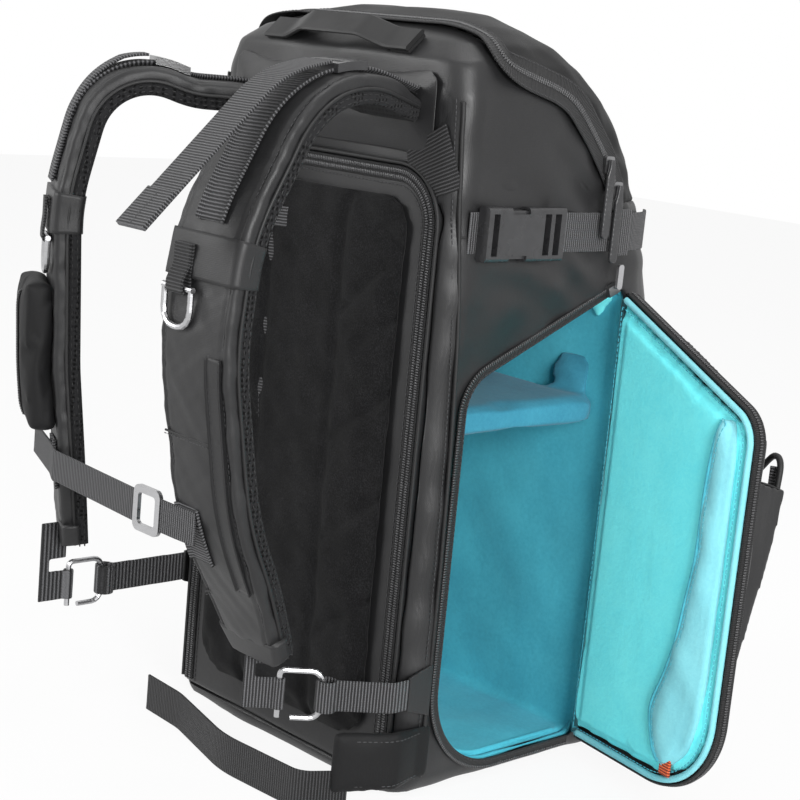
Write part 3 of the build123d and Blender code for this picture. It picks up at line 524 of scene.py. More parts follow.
def coated(name, colour, light, rough, spec=0.42):
    """Tightly woven coated fabric: faint weave, uneven sheen, soft creases."""
    m = material(name, colour, rough, sheen=0.02, spec=spec)
    g = Graph(m)
    obj = g.coord.outputs["Object"]
    big = g.noise(9, 4)
    fine = g.noise(900, 2)
    g.colour(g.ramp(g.blend(big, 0.6, fine, 0.4), [(0.3, colour), (0.7, light)]))
    g.rough(g.range(big, rough - 0.07, rough + 0.1, 0.3, 0.7))
    crease = g.bump(g.noise(38, 5, 0.6), 0.22, 0.0022)
    g.normal(g.bump(weave_height(g, 0.0009, obj), 0.18, 0.0001, crease))
    return m


def heather(name, dark, light):
    """Heathered woven fabric with pale flecks."""
    m = material(name, dark, 0.85, sheen=0.05, spec=0.12)
    g = Graph(m)
    obj = g.coord.outputs["Object"]
    fleck = g.noise(1900, 2, 0.6, g.scaled(obj, (1.0, 1.0, 0.55)))
    patch = g.noise(60, 3)
    stops = [(0.44, dark), (0.56, light), (0.7, dimmed(light, 2.2))]
    g.colour(g.ramp(g.blend(fleck, 0.8, patch, 0.2), stops))
    g.normal(g.bump(g.noise(1100, 2), 0.5, 0.0004, g.bump(weave_height(g, 0.0011, obj), 0.3, 0.0002)))
    return m


def spacer(name, colour):
    """Perforated spacer mesh: staggered holes in a springy knit."""
    m = material(name, colour, 0.8, sheen=0.03, spec=0.12)
    g = Graph(m)
    v = g.node("ShaderNodeTexVoronoi", Scale=330.0, Randomness=0.25)
    g.link(g.coord.outputs["Object"], v.inputs["Vector"])
    # the holes are painted near-black: painted shade inside the perforations, where the bump sinks them
    hole = g.range(v.outputs["Distance"], 0.0, 1.0, 0.18, 0.42)
    g.colour(g.ramp(hole, [(0.0, dimmed(colour, 0.15)), (0.7, colour), (1.0, dimmed(colour, 1.5))]))
    g.normal(g.bump(hole, 0.9, 0.0008))
    return m


def webbing(name, colour, light, pitch=0.0019):
    """Webbing: raised ribs across the strap and fine threads along it, from its own U and V in metres."""
    m = material(name, colour, 0.62, sheen=0.04, spec=0.3)
    g = Graph(m)
    parts = g.node("ShaderNodeSeparateXYZ")
    g.link(g.coord.outputs["UV"], parts.inputs[0])
    k = 2 * math.pi / pitch
    threads = g.math("SINE", g.math("MULTIPLY", parts.outputs[0], k * 1.7))
    wander = g.range(g.noise(160, 2), -0.5, 0.5)
    unevenness = g.math("ADD", g.math("MULTIPLY", threads, 0.35), wander)
    ribs = g.math("SINE", g.math("ADD", g.math("MULTIPLY", parts.outputs[1], k), unevenness))
    height = g.blend(ribs, 0.75, threads, 0.2)
    fine = g.noise(1500, 2)
    # the colour follows the rib height: painted shade in the gaps between ribs and painted highlight on their
    # crests, with fine random tone on top
    painted_rib_shade_and_tone = g.math("ADD", g.range(height, 0.1, 0.9, -0.8, 0.8), g.range(fine, -0.16, 0.16))
    g.colour(g.ramp(painted_rib_shade_and_tone, [(0.3, dimmed(colour, 0.3)), (0.48, colour), (0.8, light)]))
    g.normal(g.bump(height, 0.8, 0.0005, g.bump(fine, 0.3, 0.0002)))
    return m


def brushed(name, colour, light):
    """Brushed hook-and-loop lining with a short nap."""
    m = material(name, colour, 0.9, sheen=0.1, spec=0.1)
    g = Graph(m)
    nap = g.noise(420, 4, 0.65)
    patch = g.noise(26, 4)
    g.colour(g.ramp(g.blend(nap, 0.45, patch, 0.55), [(0.34, colour), (0.62, light)]))
    g.normal(g.bump(nap, 0.35, 0.0006, g.bump(g.noise(55, 3), 0.25, 0.002)))
    return m


def moulded(name, colour, rough, grain=0.3):
    """Moulded plastic, rubber or thick thread, faintly grained."""
    m = material(name, colour, rough, spec=0.5)
    g = Graph(m)
    g.rough(g.range(g.noise(45, 3), rough - 0.06, rough + 0.1, 0.3, 0.7))
    g.normal(g.bump(g.noise(1400, 2), grain, 0.0002))
    g.colour(g.ramp(g.noise(120, 3), [(0.3, dimmed(colour, 0.85)), (0.7, dimmed(colour, 1.2))]))
    return m


def metal(name, colour, rough):
    """Satin metal with fine scratches."""
    m = material(name, colour, rough, metal=1.0)
    g = Graph(m)
    scratch = g.noise(160, 5, 0.7, g.scaled(g.coord.outputs["Object"], (1, 1, 6)))
    g.rough(g.range(scratch, rough - 0.08, rough + 0.14, 0.3, 0.7))
    g.normal(g.bump(scratch, 0.08, 0.0002))
    g.colour(g.ramp(g.noise(50, 3), [(0.3, dimmed(colour, 0.86)), (0.7, colour)]))
    return m


def grey(level, blue):
    return (level, level, blue)


# each look: its slot and its material
LOOKS = {
    "shell": ("shell_fabric", coated("coated_shell", grey(0.0075, 0.008), grey(0.014, 0.0148), 0.4)),
    "strap": ("strap_fabric", coated("coated_strap", grey(0.008, 0.0085), grey(0.0145, 0.0153), 0.46, 0.38)),
    "trim": ("shell_fabric", coated("coated_trim", grey(0.004, 0.0043), grey(0.008, 0.0085), 0.55)),
    # a darker, duller copy of the shell fabric: painted shade on the lid's up-facing top; the hip fins and
    # phone pocket wear it too
    "lid": ("shell_fabric", coated("coated_shell_painted_shade", grey(0.0035, 0.0038), grey(0.0075, 0.008), 0.6, 0.2)),
    "heather": ("back_fabric", heather("heathered_pad", grey(0.0022, 0.0024), grey(0.0085, 0.0091))),
    "mesh": ("mesh", spacer("spacer_mesh", grey(0.01, 0.0106))),
    "webbing": ("webbing", webbing("ribbed_webbing", grey(0.03, 0.032), grey(0.115, 0.12))),
    "webbing_dark": ("webbing", webbing("dark_webbing", grey(0.009, 0.0095), grey(0.045, 0.047))),
    "tape": ("tape", webbing("zip_tape", grey(0.007, 0.0075), grey(0.02, 0.0212), 0.0012)),
    "coil": ("tape", moulded("zip_coil", grey(0.05, 0.052), 0.26)),
    "thread": ("strap_fabric", moulded("stitch_thread", grey(0.03, 0.032), 0.6)),
    "plastic": ("buckle_plastic", moulded("acetal", grey(0.026, 0.0275), 0.24)),
    "alloy": ("alloy", metal("satin_alloy", grey(0.5, 0.51), 0.3)),
    "gunmetal": ("slider_metal", metal("dark_metal", grey(0.28, 0.285), 0.34)),
    "rubber": ("handle_rubber", moulded("dark_rubber", grey(0.005, 0.0053), 0.5, 0.12)),
    "lining": ("lining", brushed("cyan_lining", (0.155, 0.84, 0.91), (0.21, 0.92, 0.95))),
    # the next two are darker copies of the cyan lining: painted shade for the inside of the compartment,
    # deepest on the shelf
    "lining_in_painted_shade": ("lining", brushed("cyan_lining_painted_shade_copy", (0.06, 0.4, 0.52), (0.085, 0.5, 0.62))),
    "lining_in_painted_deep_shade": ("lining", brushed("cyan_lining_painted_deep_shade_copy", (0.035, 0.2, 0.29), (0.05, 0.26, 0.36))),
    "pocket_lining": ("lining", brushed("cyan_pocket_cloth", (0.19, 0.56, 0.64), (0.24, 0.64, 0.7))),
    # dark cyan thread for the stitches; on the door pocket's hem the same dark tone is also a painted shade
    # line
    "lining_thread": ("lining", moulded("cyan_thread", (0.06, 0.4, 0.5), 0.7)),
    "orange": ("orange_pull", webbing("orange_webbing", (0.62, 0.075, 0.02), (0.85, 0.16, 0.05), 0.0018)),
}


def finish(obj, look, body, *replaced, fill=None):
    """Material, body and the CAD nodes that a piece stands for; nothing goes below the floor."""
    slot, mat = LOOKS[look]
    obj.data.materials.clear()
    obj.data.materials.append(mat)
    co = coords(obj)
    if co[:, 2].min() < 0:
        co[:, 2] = np.maximum(co[:, 2], 0)
        set_coords(obj, co)
    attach(obj, body)
    if replaced:
        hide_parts(*replaced)
    return obj


def dress(look, *names, angle=32):
    """A CAD node that stays gets its material."""
    for n in names:
        mesh = nodes[n].data
        mesh.materials.clear()
        mesh.materials.append(LOOKS[look][1])
        mesh.polygons.foreach_set("use_smooth", [True] * len(mesh.polygons))
        mesh.set_sharp_from_angle(angle=math.radians(angle))


# --- camera and light ---
yaw, pitch, roll = (math.radians(a) for a in (45.76, 11.38, 5.39))
right = Vector((math.cos(yaw), math.sin(yaw), 0))
behind = Vector((math.sin(yaw) * math.cos(pitch), -math.cos(yaw) * math.cos(pitch), math.sin(pitch)))
over = behind.cross(right)
cam_x = right * math.cos(roll) + over * math.sin(roll)
cam_y = over * math.cos(roll) - right * math.sin(roll)
place = Vector((0, -0.016, 0.25)) + behind * 1.2112 - cam_x * 0.0098 - cam_y * 0.0246
cam_data = bpy.data.cameras.new("camera")
cam_data.lens = 81
cam_data.sensor_width = 36
camera = bpy.data.objects.new("camera", cam_data)
camera.matrix_world = Matrix(
    [[cam_x[i], cam_y[i], behind[i], place[i]] for i in range(3)] + [[0, 0, 0, 1]]
)
bpy.context.scene.collection.objects.link(camera)
bpy.context.scene.camera = camera
bpy.context.scene.view_settings.view_transform = "Standard"


def lamp(name, at, aim, size, watts):
    data = bpy.data.lights.new(name, "AREA")
    data.size = size
    data.energy = watts
    obj = bpy.data.objects.new(name, data)
    obj.location = at
    obj.rotation_euler = (Vector(aim) - Vector(at)).to_track_quat("-Z", "Y").to_euler()
    bpy.context.scene.collection.objects.link(obj)


# name, place, aim, size and watts
lamp("key", (2.1, -0.9, 0.9), (0.05, 0, 0.28), 0.9, 54)
lamp("fill", (-1.2, -2.1, 1.1), (0, 0, 0.25), 1.0, 34)
lamp("top", (0.3, 0.2, 2.2), (0, 0, 0.2), 1.2, 14)
world = bpy.data.worlds.new("studio")
bpy.context.scene.world = world
world.use_nodes = True
tree = world.node_tree
tree.nodes.clear()
out = tree.nodes.new("ShaderNodeOutputWorld")


def seen_directly(tree):
    """1 where the eye, a reflection or something clear looks at it, 0 where it only lights."""
    rays = tree.nodes.new("ShaderNodeLightPath")
    total = rays.outputs["Is Camera Ray"]
    for kind in ("Is Glossy Ray", "Is Transmission Ray"):
        larger = tree.nodes.new("ShaderNodeMath")
        larger.operation = "MAXIMUM"
        tree.links.new(total, larger.inputs[0])
        tree.links.new(rays.outputs[kind], larger.inputs[1])
        total = larger.outputs[0]
    return total


mix = tree.nodes.new("ShaderNodeMixShader")
tree.links.new(seen_directly(tree), mix.inputs["Fac"])
for socket, strength in ((1, 0.42), (2, 1.0)):  # what lights the bag, and what is seen behind it
    white = tree.nodes.new("ShaderNodeBackground")
    white.inputs["Color"].default_value = (1, 1, 1, 1)
    white.inputs["Strength"].default_value = strength
    tree.links.new(white.outputs[0], mix.inputs[socket])
tree.links.new(mix.outputs[0], out.inputs["Surface"])

floor = new_mesh("floor", [(-4, -4, 0), (4, -4, 0), (4, 4, 0), (-4, 4, 0)], [[0, 1, 2, 3]])
floor_mat = material("floor_paint", (0.86, 0.86, 0.86), 0.8)
fnodes, flinks = floor_mat.node_tree.nodes, floor_mat.node_tree.links
glow = fnodes.new("ShaderNodeEmission")
glow.inputs["Strength"].default_value = 1.0
share = fnodes.new("ShaderNodeMath")
share.operation = "MULTIPLY"
share.inputs[1].default_value = 0.9
fmix = fnodes.new("ShaderNodeMixShader")
flinks.new(seen_directly(floor_mat.node_tree), share.inputs[0])
flinks.new(share.outputs[0], fmix.inputs["Fac"])
flinks.new(fnodes["Principled BSDF"].outputs[0], fmix.inputs[1])
flinks.new(glow.outputs[0], fmix.inputs[2])
flinks.new(fmix.outputs[0], fnodes["Material Output"].inputs["Surface"])
floor.data.materials.append(floor_mat)


# --- drawing on the strap, the shell and the door ---
def straps_route(side):
    """The strap's inner route on a straight left strap, with its outward directions."""
    arch = [(STRAP_X, BACK - out * MM, YOKE_Z + up * MM) for out, up in ARCH[side]]
    fall = [(STRAP_X, BACK - out * MM, z * MM) for out, z in FALL[side]]
    path = smooth_rows(resample(rounded(arch + fall, [r * MM for r in BENDS[side]]), PITCH), 4)
    return path, upright_ups(path)


routes = {side: straps_route(side) for side in (1, -1)}


def lane(side, across, out, low, high, reach):
    """Part of a strap's route between two heights and past a reach, moved sideways and outwards."""
    path, ups = routes[side]
    crest = int(np.argmax(path[:, 2]))
    away = BACK - path[:, 1]
    falling = np.arange(len(path)) > crest
    between = (path[:, 2] >= low) & (path[:, 2] <= high)
    keep = np.where((falling | (reach < 0.05)) & between & (away >= reach))[0]
    keep = np.arange(keep[0], keep[-1] + 1)
    return path[keep] + ups[keep] * out + np.array([across, 0, 0]), ups[keep]


def fall_y(side, z):
    """How far out the falling part of a strap's route is at a height."""
    path = routes[side][0]
    crest = int(np.argmax(path[:, 2]))
    return float(np.interp(-z, -path[crest:, 2], path[crest:, 1]))


def turned(points, side):
    points = np.array(points, float)
    c, s = math.cos(TURN[side]), math.sin(TURN[side])
    x, y = points[..., 0] - STRAP_X, points[..., 1] - BACK
    out = points.copy()
    out[..., 0] = side * (STRAP_X + x * c - y * s)
    out[..., 1] = BACK + x * s + y * c
    return out


def on_strap(obj, side):
    """A piece drawn on a straight left strap, put where its own strap stands."""
    set_coords(obj, turned(coords(obj), side))
    if side < 0:
        obj.data.flip_normals()
    return obj


def band_along(name, path, ups, a0, a1, low, thick):
    """A flat strip between two distances beside a path."""
    section = rounded_section(a1 - a0, thick, thick * 0.45, 2, low)
    section[:, 0] += (a0 + a1) / 2
    return sweep(name, path, section, ups)


def uv_from(obj, across, along):
    """U and V in metres from two directions, the same on both sides of the bag."""
    co = coords(obj)
    co[:, 0] = abs(co[:, 0])
    uv = np.stack([co @ np.array(across, float), co @ np.array(along, float)], axis=1)
    layer = obj.data.uv_layers.new(name="UVMap")
    index = np.zeros(len(obj.data.loops), np.int32)
    obj.data.loops.foreach_get("vertex_index", index)
    layer.data.foreach_set("uv", uv[index].astype(np.float32).ravel())
    return obj


def joined(name, *parts):
    """Several meshes made one, with their UVs."""
    verts, faces, uvs = [], [], []
    for o in parts:
        base = len(verts)
        verts += [tuple(v.co) for v in o.data.vertices]
        faces += [[base + i for i in p.vertices] for p in o.data.polygons]
        layer = o.data.uv_layers.active
        own = [(0.0, 0.0)] * len(o.data.vertices)
        if layer:
            for loop in o.data.loops:
                own[loop.vertex_index] = tuple(layer.data[loop.index].uv)
        uvs += own
        bpy.data.objects.remove(o)
    return new_mesh(name, verts, faces, uvs)


def puffed(obj, pressure, cap):
    """Inflates a padded piece as cloth under pressure, its movement capped; then one subdivision."""
    frames, stiff = 20, 8.0
    start = coords(obj)
    cloth = obj.modifiers.new("cloth", "CLOTH")
    s = cloth.settings
    s.quality = 4
    s.mass = 0.25
    s.tension_stiffness = s.compression_stiffness = stiff
    s.shear_stiffness = stiff * 0.6
    s.bending_stiffness = 0.3
    s.use_pressure = True
    s.uniform_pressure_force = pressure
    s.effector_weights.gravity = 0
    cloth.point_cache.frame_start = 1
    cloth.point_cache.frame_end = frames
    scene = bpy.context.scene
    for f in range(1, frames + 1):
        scene.frame_set(f)
    graph = bpy.context.evaluated_depsgraph_get()
    co = np.zeros(len(start) * 3)
    obj.evaluated_get(graph).data.vertices.foreach_get("co", co)
    move = co.reshape(-1, 3) - start
    move -= move.mean(axis=0)
    far = np.linalg.norm(move, axis=1, keepdims=True)
    obj.modifiers.clear()
    set_coords(obj, start + move * np.minimum(1, cap / np.maximum(far, 1e-9)))
    scene.frame_set(1)
    return subdivided(obj)


def cushion_of(name, node, voxel, pressure, cap):
    return puffed(remeshed(cad_copy(name, node), voxel), pressure, cap)


def groove(obj, lines, depth, width, normal=None):
    """Presses sewn lines into a padded piece."""
    co = coords(obj)
    near = np.full(len(co), 9.0)
    for line in lines:
        line = np.array(line, float)
        for a, b in zip(line, line[1:]):
            ab = b - a
            t = np.clip(((co - a) @ ab) / (ab @ ab), 0, 1)
            near = np.minimum(near, np.linalg.norm(co - a - t[:, None] * ab, axis=1))
    if normal is None:
        push(obj, -depth * np.exp(-((near / width) ** 2)))
    else:
        normal = np.array(normal, float)
        seen = np.maximum(0, normals(obj) @ normal)
        set_coords(obj, co - (depth * seen * np.exp(-((near / width) ** 2)))[:, None] * normal)


def sewn(name, path, ups, body, look="thread", lift=0.0002, across=0.0):
    """A line of stitches."""
    seam = capsules(name, path, ups, STITCH_PITCH, STITCH_LENGTH, STITCH_RADIUS, lift, across)
    return finish(seam, look, body)


def strap_sewn(name, path, ups, side, lift, across=0.0, size=(STITCH_PITCH, STITCH_LENGTH, FINE_RADIUS)):
    """A line of stitches on a shoulder strap."""
    seam = capsules(name, path, ups, *size, lift, across)
    return finish(on_strap(seam, side), "thread", "pack")


def coil(name, path, ups, lift, across=0.0, pitch=COIL_PITCH, width=COIL_WIDTH, radius=COIL_RADIUS):
    """A zip's coil: threads laid crosswise."""
    return capsules(name, path, ups, pitch, width, radius, lift, across, crosswise=True)


def opened(obj):
    """A piece drawn with the door shut, swung open with it."""
    set_coords(obj, swung(coords(obj)))
    return obj


def cloth(name, node, voxel, smooth, look, body, sway=None, fill=None):
    """A softened copy of a CAD node that stands for it; sway is how uneven: amount, size and seed."""
    obj = soft_copy(name, [node], voxel, smooth)
    if sway:
        push(obj, sway[0] * waves(coords(obj), *sway[1:]))
    return finish(obj, look, body, node, fill=fill)


def mirrored_line(points):
    points = np.array(points, float).copy()
    points[:, 0] *= -1
    return points


# --- shell: one skin for the body, one for the lid ---
def shell_dents(co):
    """Slack in the shell's cloth: broad sag, and creases pulled in towards the side buckle."""
    sag = 0.0011 * waves(co, 0.16, 3) + 0.0006 * waves(co, 0.05, 4)
    y, z = co[:, 1], co[:, 2]
    left = co[:, 0] > 0.08
    near = np.exp(-((y / 0.09) ** 2) - ((z - 0.352) / 0.05) ** 2)
    lines = np.sin((z + 0.45 * y) * 2 * math.pi / 0.03 + 1.4 * np.sin(y * 46))
    fold = 0
    for rise, slope, mid, reach, deep in (
        (0.412, 0.42, 0.024, 0.034, 1.0), (0.392, 0.3, 0.03, 0.026, 0.9), (0.384, 0.62, 0.008, 0.03, 0.7),
    ):
        gap = (z - rise + slope * (y - mid)) / 0.006
        fold += deep * np.exp(-(gap**2)) * np.exp(-(((y - mid) / reach) ** 2))
    pinch = np.exp(-(((z - 0.355) / 0.017) ** 2)) * (np.abs(y + 0.01) < 0.1)
    return sag + left * (0.0014 * near * lines - 0.0034 * fold - 0.0014 * pinch)


for name, panels, body in (("body_fabric", BODY_PANELS, "pack"), ("lid_fabric", ("lid_shell",), "lid")):
    skin = soft_copy(name, panels, SHELL_VOXEL, 4)
    push(skin, shell_dents(coords(skin)))
    # the lid's skin takes the shell fabric darkened as painted shade
    finish(skin, "lid" if body == "lid" else "shell", body, *panels)
guide = soft_copy("guide", [*BODY_PANELS[:4], "lid_shell", "lid_zip_tape_body"], 0.003, 5)
shell_tree = surface(guide)
bpy.data.objects.remove(guide)


def surface_line(points, offset=0.0):
    """A line laid on the shell through a few nearby points."""
    path, ups = on_surface(shell_tree, resample(points, PITCH), offset=offset)
    path, ups = smooth_rows(path, 3), smooth_rows(ups, 4)
    return path, ups / np.linalg.norm(ups, axis=1, keepdims=True)


# seams of the shell: harness corners, front corners, gusset strip
harness_edge = [
    (0.112, -0.107, 0.432), (0.114, -0.103, 0.368), (0.116, -0.095, 0.283),
    (0.117, -0.091, 0.16), (0.117, -0.091, 0.012),
]
front_edge = [(0.095, 0.112, 0.012), (0.096, 0.113, 0.2), (0.093, 0.108, 0.34), (0.09, 0.1, 0.37)]
for side in (1, -1):
    mirror = np.array if side > 0 else mirrored_line
    path, ups = surface_line(mirror(spline(harness_edge)), 0.0003)
    finish(piping(f"harness_piping_{SIDES[side]}", path, ups, 0.0015), "trim", "pack")
    sewn(f"harness_stitches_{SIDES[side]}", path, ups, "pack", across=side * 0.0042, lift=0.0)
    path, ups = surface_line(mirror(spline(front_edge)), 0.0002)
    finish(piping(f"front_piping_{SIDES[side]}", path, ups, 0.0013), "trim", "pack")
gusset_seam, gusset_ups = surface_line([(0.116, -0.104, 0.352), (0.116, -0.088, 0.352)])
finish(piping("gusset_seam", gusset_seam, gusset_ups, 0.0008), "trim", "pack")


def draped_patch(name, a, b, c, d):
    """A four-cornered patch laid on the shell; its UVs are metres along its sides."""
    size = 26
    a, b, c, d = (np.array(p, float) for p in (a, b, c, d))
    verts, uvs = [], []
    for i in range(size):
        for j in range(size):
            u, v = i / (size - 1), j / (size - 1)
            p = (a * (1 - u) + b * u) * (1 - v) + (d * (1 - u) + c * u) * v
            look = Vector((-math.copysign(0.7071, p[0]), 0.7071, 0))
            hit, normal, _, _ = shell_tree.ray_cast(Vector(p) - look * 0.2, look)
            verts.append(np.array(hit) + np.array(normal) * 0.0004)
            uvs.append((u * np.linalg.norm(b - a), v * np.linalg.norm(d - a)))
    return solidified(consistent(new_mesh(name, verts, grid_faces(size, size), uvs)), 0.0011, 1)


for side in (1, -1):
    corners = [(0.074, -0.111, 0.400), (0.104, -0.111, 0.417), (0.114, -0.103, 0.381), (0.082, -0.111, 0.367)]
    corners = [(side * x, y, z) for x, y, z in corners]
    finish(draped_patch(f"lifter_patch_{SIDES[side]}", *corners), "webbing_dark", "pack")

# --- zips ---
side_seam = rounded([(39, 373), (21, 400), (-16, 438), (-76, 454)], [46, 46], step=1.0) * MM
cast_left, _ = on_surface(shell_tree, [(0.16, y, z) for y, z in resample(side_seam, PITCH)], (-1, 0, 0))
start = math.atan2(0.454 - 0.40, cast_left[-1][0])
over = []
for angle in np.linspace(start, math.pi - start, 130)[1:-1]:
    aim = Vector((-math.cos(angle), 0, -math.sin(angle)))
    hit, _, _, _ = shell_tree.ray_cast(Vector((0, -0.076, 0.40)) - aim * 0.25, aim)
    if hit is not None:
        over.append(np.array(hit))
lid_path = np.vstack([cast_left, over, mirrored_line(cast_left)[::-1]])
lid_path = smooth_rows(resample(smooth_rows(lid_path, 6), PITCH), 30)
lid_path, _ = on_surface(shell_tree, lid_path)
lid_path = smooth_rows(resample(lid_path, PITCH), 3)
_, lid_ups = on_surface(shell_tree, lid_path)
lid_ups = smooth_rows(lid_ups, 16)
lid_ups /= np.linalg.norm(lid_ups, axis=1, keepdims=True)
for tag, body, near, far, node in (
    ("a", "lid", 0.0006, 0.0105, "lid_zip_tape_lid"), ("b", "pack", -0.0105, -0.0006, "lid_zip_tape_body"),
):
    tape = band_along(f"lid_zip_tape_{tag}", lid_path, lid_ups, near, far, 0.0001, 0.0011)
    finish(tape, "tape", body, node)
# two interlocking rows of coil either side of the line, one on each body
for tag, body, off, shift in (("a", "lid", 0.0009, 0.0), ("b", "pack", -0.0009, 0.5)):
    pts = resample(lid_path, COIL_PITCH)
    pts = pts[:-1] + (pts[1:] - pts[:-1]) * shift
    row = coil(f"lid_coil_{tag}", pts, nearest_rows(lid_path, lid_ups, pts), 0.0014, off)
    finish(row, "coil", body)
for off, body in ((0.0092, "lid"), (-0.0092, "pack")):
    sewn(f"lid_zip_stitches_{body}", lid_path, lid_ups, body, across=off, lift=0.0013)

DOOR_CORNERS = [(58, 12), (58, 322), (-83, 262), (-83, 12)]
DOOR_RADII = [9, 9, 26, 58]


def door_outline(grow, shut_x):
    """The door's outline grown outwards, as points at an X position with their outward directions."""
    pts = rounded([(y * MM, z * MM) for y, z in DOOR_CORNERS], [r * MM for r in DOOR_RADII], closed=True)
    pts = resample(pts, PITCH, closed=True)
    t = tangents(pts, closed=True)
    out = np.stack([-t[:, 1], t[:, 0]], axis=1)
    if np.sum((pts - pts.mean(axis=0)) * out) < 0:
        out = -out
    pts = pts + out * grow
    path = np.column_stack([np.full(len(pts), shut_x), pts])
    return path, np.column_stack([np.zeros(len(pts)), out])


def open_run(path, ups):
    """The part of the outline away from the hinge, in order."""
    keep = path[:, 1] < 0.049
    first = int(np.where(~keep)[0][-1]) + 1 if not keep[0] else 0
    order = np.roll(np.arange(len(path)), -first)
    order = [i for i in order if keep[i]]
    return path[order], ups[order]


path, outs = open_run(*door_outline(0.003, HALF + 0.0006))
flat = facing((1.0, 0, 0), path)
opening_tape = band_along("opening_tape", path, flat, -0.0033, 0.0033, -0.0001, 0.001)
finish(opening_tape, "tape", "pack", "opening_zip_tape")
finish(coil("opening_coil", path, flat, 0.0012, 0.0021), "coil", "pack")
sewn("opening_stitches", path, flat, "pack", lift=0.0011, across=-0.0022)
path, outs = open_run(*door_outline(-0.0012, HALF - 0.005))
door_rim = band_along("door_tape", path, outs, -0.0042, 0.0042, -0.001, 0.0016)
finish(opened(door_rim), "tape", "side_door", "door_zip_tape")
finish(opened(coil("door_coil", path, outs, 0.001)), "coil", "side_door")

# back panel with its double coil zip
cloth("back_panel_fabric", "back_panel", SHELL_VOXEL, 3, "shell", "back_panel")


def panel_line(inset, y):
    """A line inside the back panel's edge."""
    half, top = PANEL_HALF - inset, PANEL_TOP - inset
    corners = [(half, PANEL_FOOT), (half, top), (-half, top), (-half, PANEL_FOOT)]
    flat_line = resample(rounded(corners, [PANEL_RADIUS - inset] * 2), PITCH)
    return np.column_stack([flat_line[:, 0], np.full(len(flat_line), y), flat_line[:, 1]])


path = panel_line(0.0048, BACK)
band = band_along("back_zip_band", path, facing(REARWARD, path), -0.0045, 0.0045, -0.0002, 0.0012)
finish(band, "tape", "back_panel", "back_zip_tape")
for number, inset in enumerate((0.0030, 0.0068)):
    path = panel_line(inset, BACK)
    row = coil(f"back_coil_{number}", path, facing(REARWARD, path), 0.0013, 0.0, 0.0016, 0.0028, 0.00065)
    finish(row, "coil", "back_panel")
path = panel_line(-0.0018, BACK - 0.0002)
finish(piping("back_frame_piping", path, facing(REARWARD, path), 0.0012), "trim", "pack")
path = panel_line(0.0115, BACK - 0.0002)
sewn("back_panel_stitches", path, facing(REARWARD, path), "back_panel", lift=0.0001)

# --- back pad and yoke ---
PAD_FRONT = -0.118
pad = cushion_of("back_pad_cushion", "back_pad", 0.005, 4.0, 0.005)
chevrons = [
    [(33, 371), (91, 334)], [(34, 293), (72, 329)], [(56, 281), (88, 305)],
    [(36, 215), (91, 262)], [(36, 150), (91, 197)], [(36, 85), (91, 132)],
]
lines = []
for (x0, z0), (x1, z1) in chevrons:
    for s in (1, -1):
        lines.append([(s * x0 * MM, PAD_FRONT, z0 * MM), (s * x1 * MM, PAD_FRONT, z1 * MM)])
for s in (1, -1):
    lines.append([(s * 0.034, PAD_FRONT, 0.371), (s * 0.034, PAD_FRONT, 0.03)])
groove(subdivided(pad), lines, 0.0045, 0.0045, REARWARD)
co = coords(pad)
co[:, 1] -= 0.0006 * waves(co, 0.03, 12)
set_coords(pad, co)
finish(pad, "heather", "back_panel", "back_pad", fill=FILL)
yoke = cushion_of("yoke_cushion", "yoke_pad", 0.0045, 4.0, 0.003)
co = coords(yoke)
rim = np.minimum(0.098 - np.abs(co[:, 0]), 0.027 - np.abs(co[:, 2] - YOKE_Z))
co[:, 1] = BACK + (co[:, 1] - BACK) * (0.06 + 0.6 * np.clip(rim / 0.022, 0, 1) ** 0.7)
set_coords(yoke, co)
finish(yoke, "shell", "pack", "yoke_pad", fill=FILL)
adjust = np.array([(-0.032 + 0.008 * (0.352 - z) / 0.147, -0.1178, z) for z in np.linspace(0.352, 0.205, 70)])
adjust[:, 1] -= 0.0012 * np.sin(np.linspace(0, math.pi, 70) * 3) ** 2
front_ups = facing(REARWARD, adjust)
strip = strap("adjuster_strip", adjust, front_ups, 0.024, 0.0018, low=-0.0004)
tab = strap("adjuster_tab", adjust[:7] - [0, 0.0017, 0], front_ups[:7], 0.0245, 0.0016, low=0.0)
finish(joined("adjuster_webbing", strip, tab), "webbing", "back_panel", "harness_adjuster_strap")
for a in (-0.0095, 0.0095):
    sewn(f"adjuster_stitches_{'a' if a < 0 else 'b'}", adjust, front_ups, "back_panel", across=a, lift=0.0016)

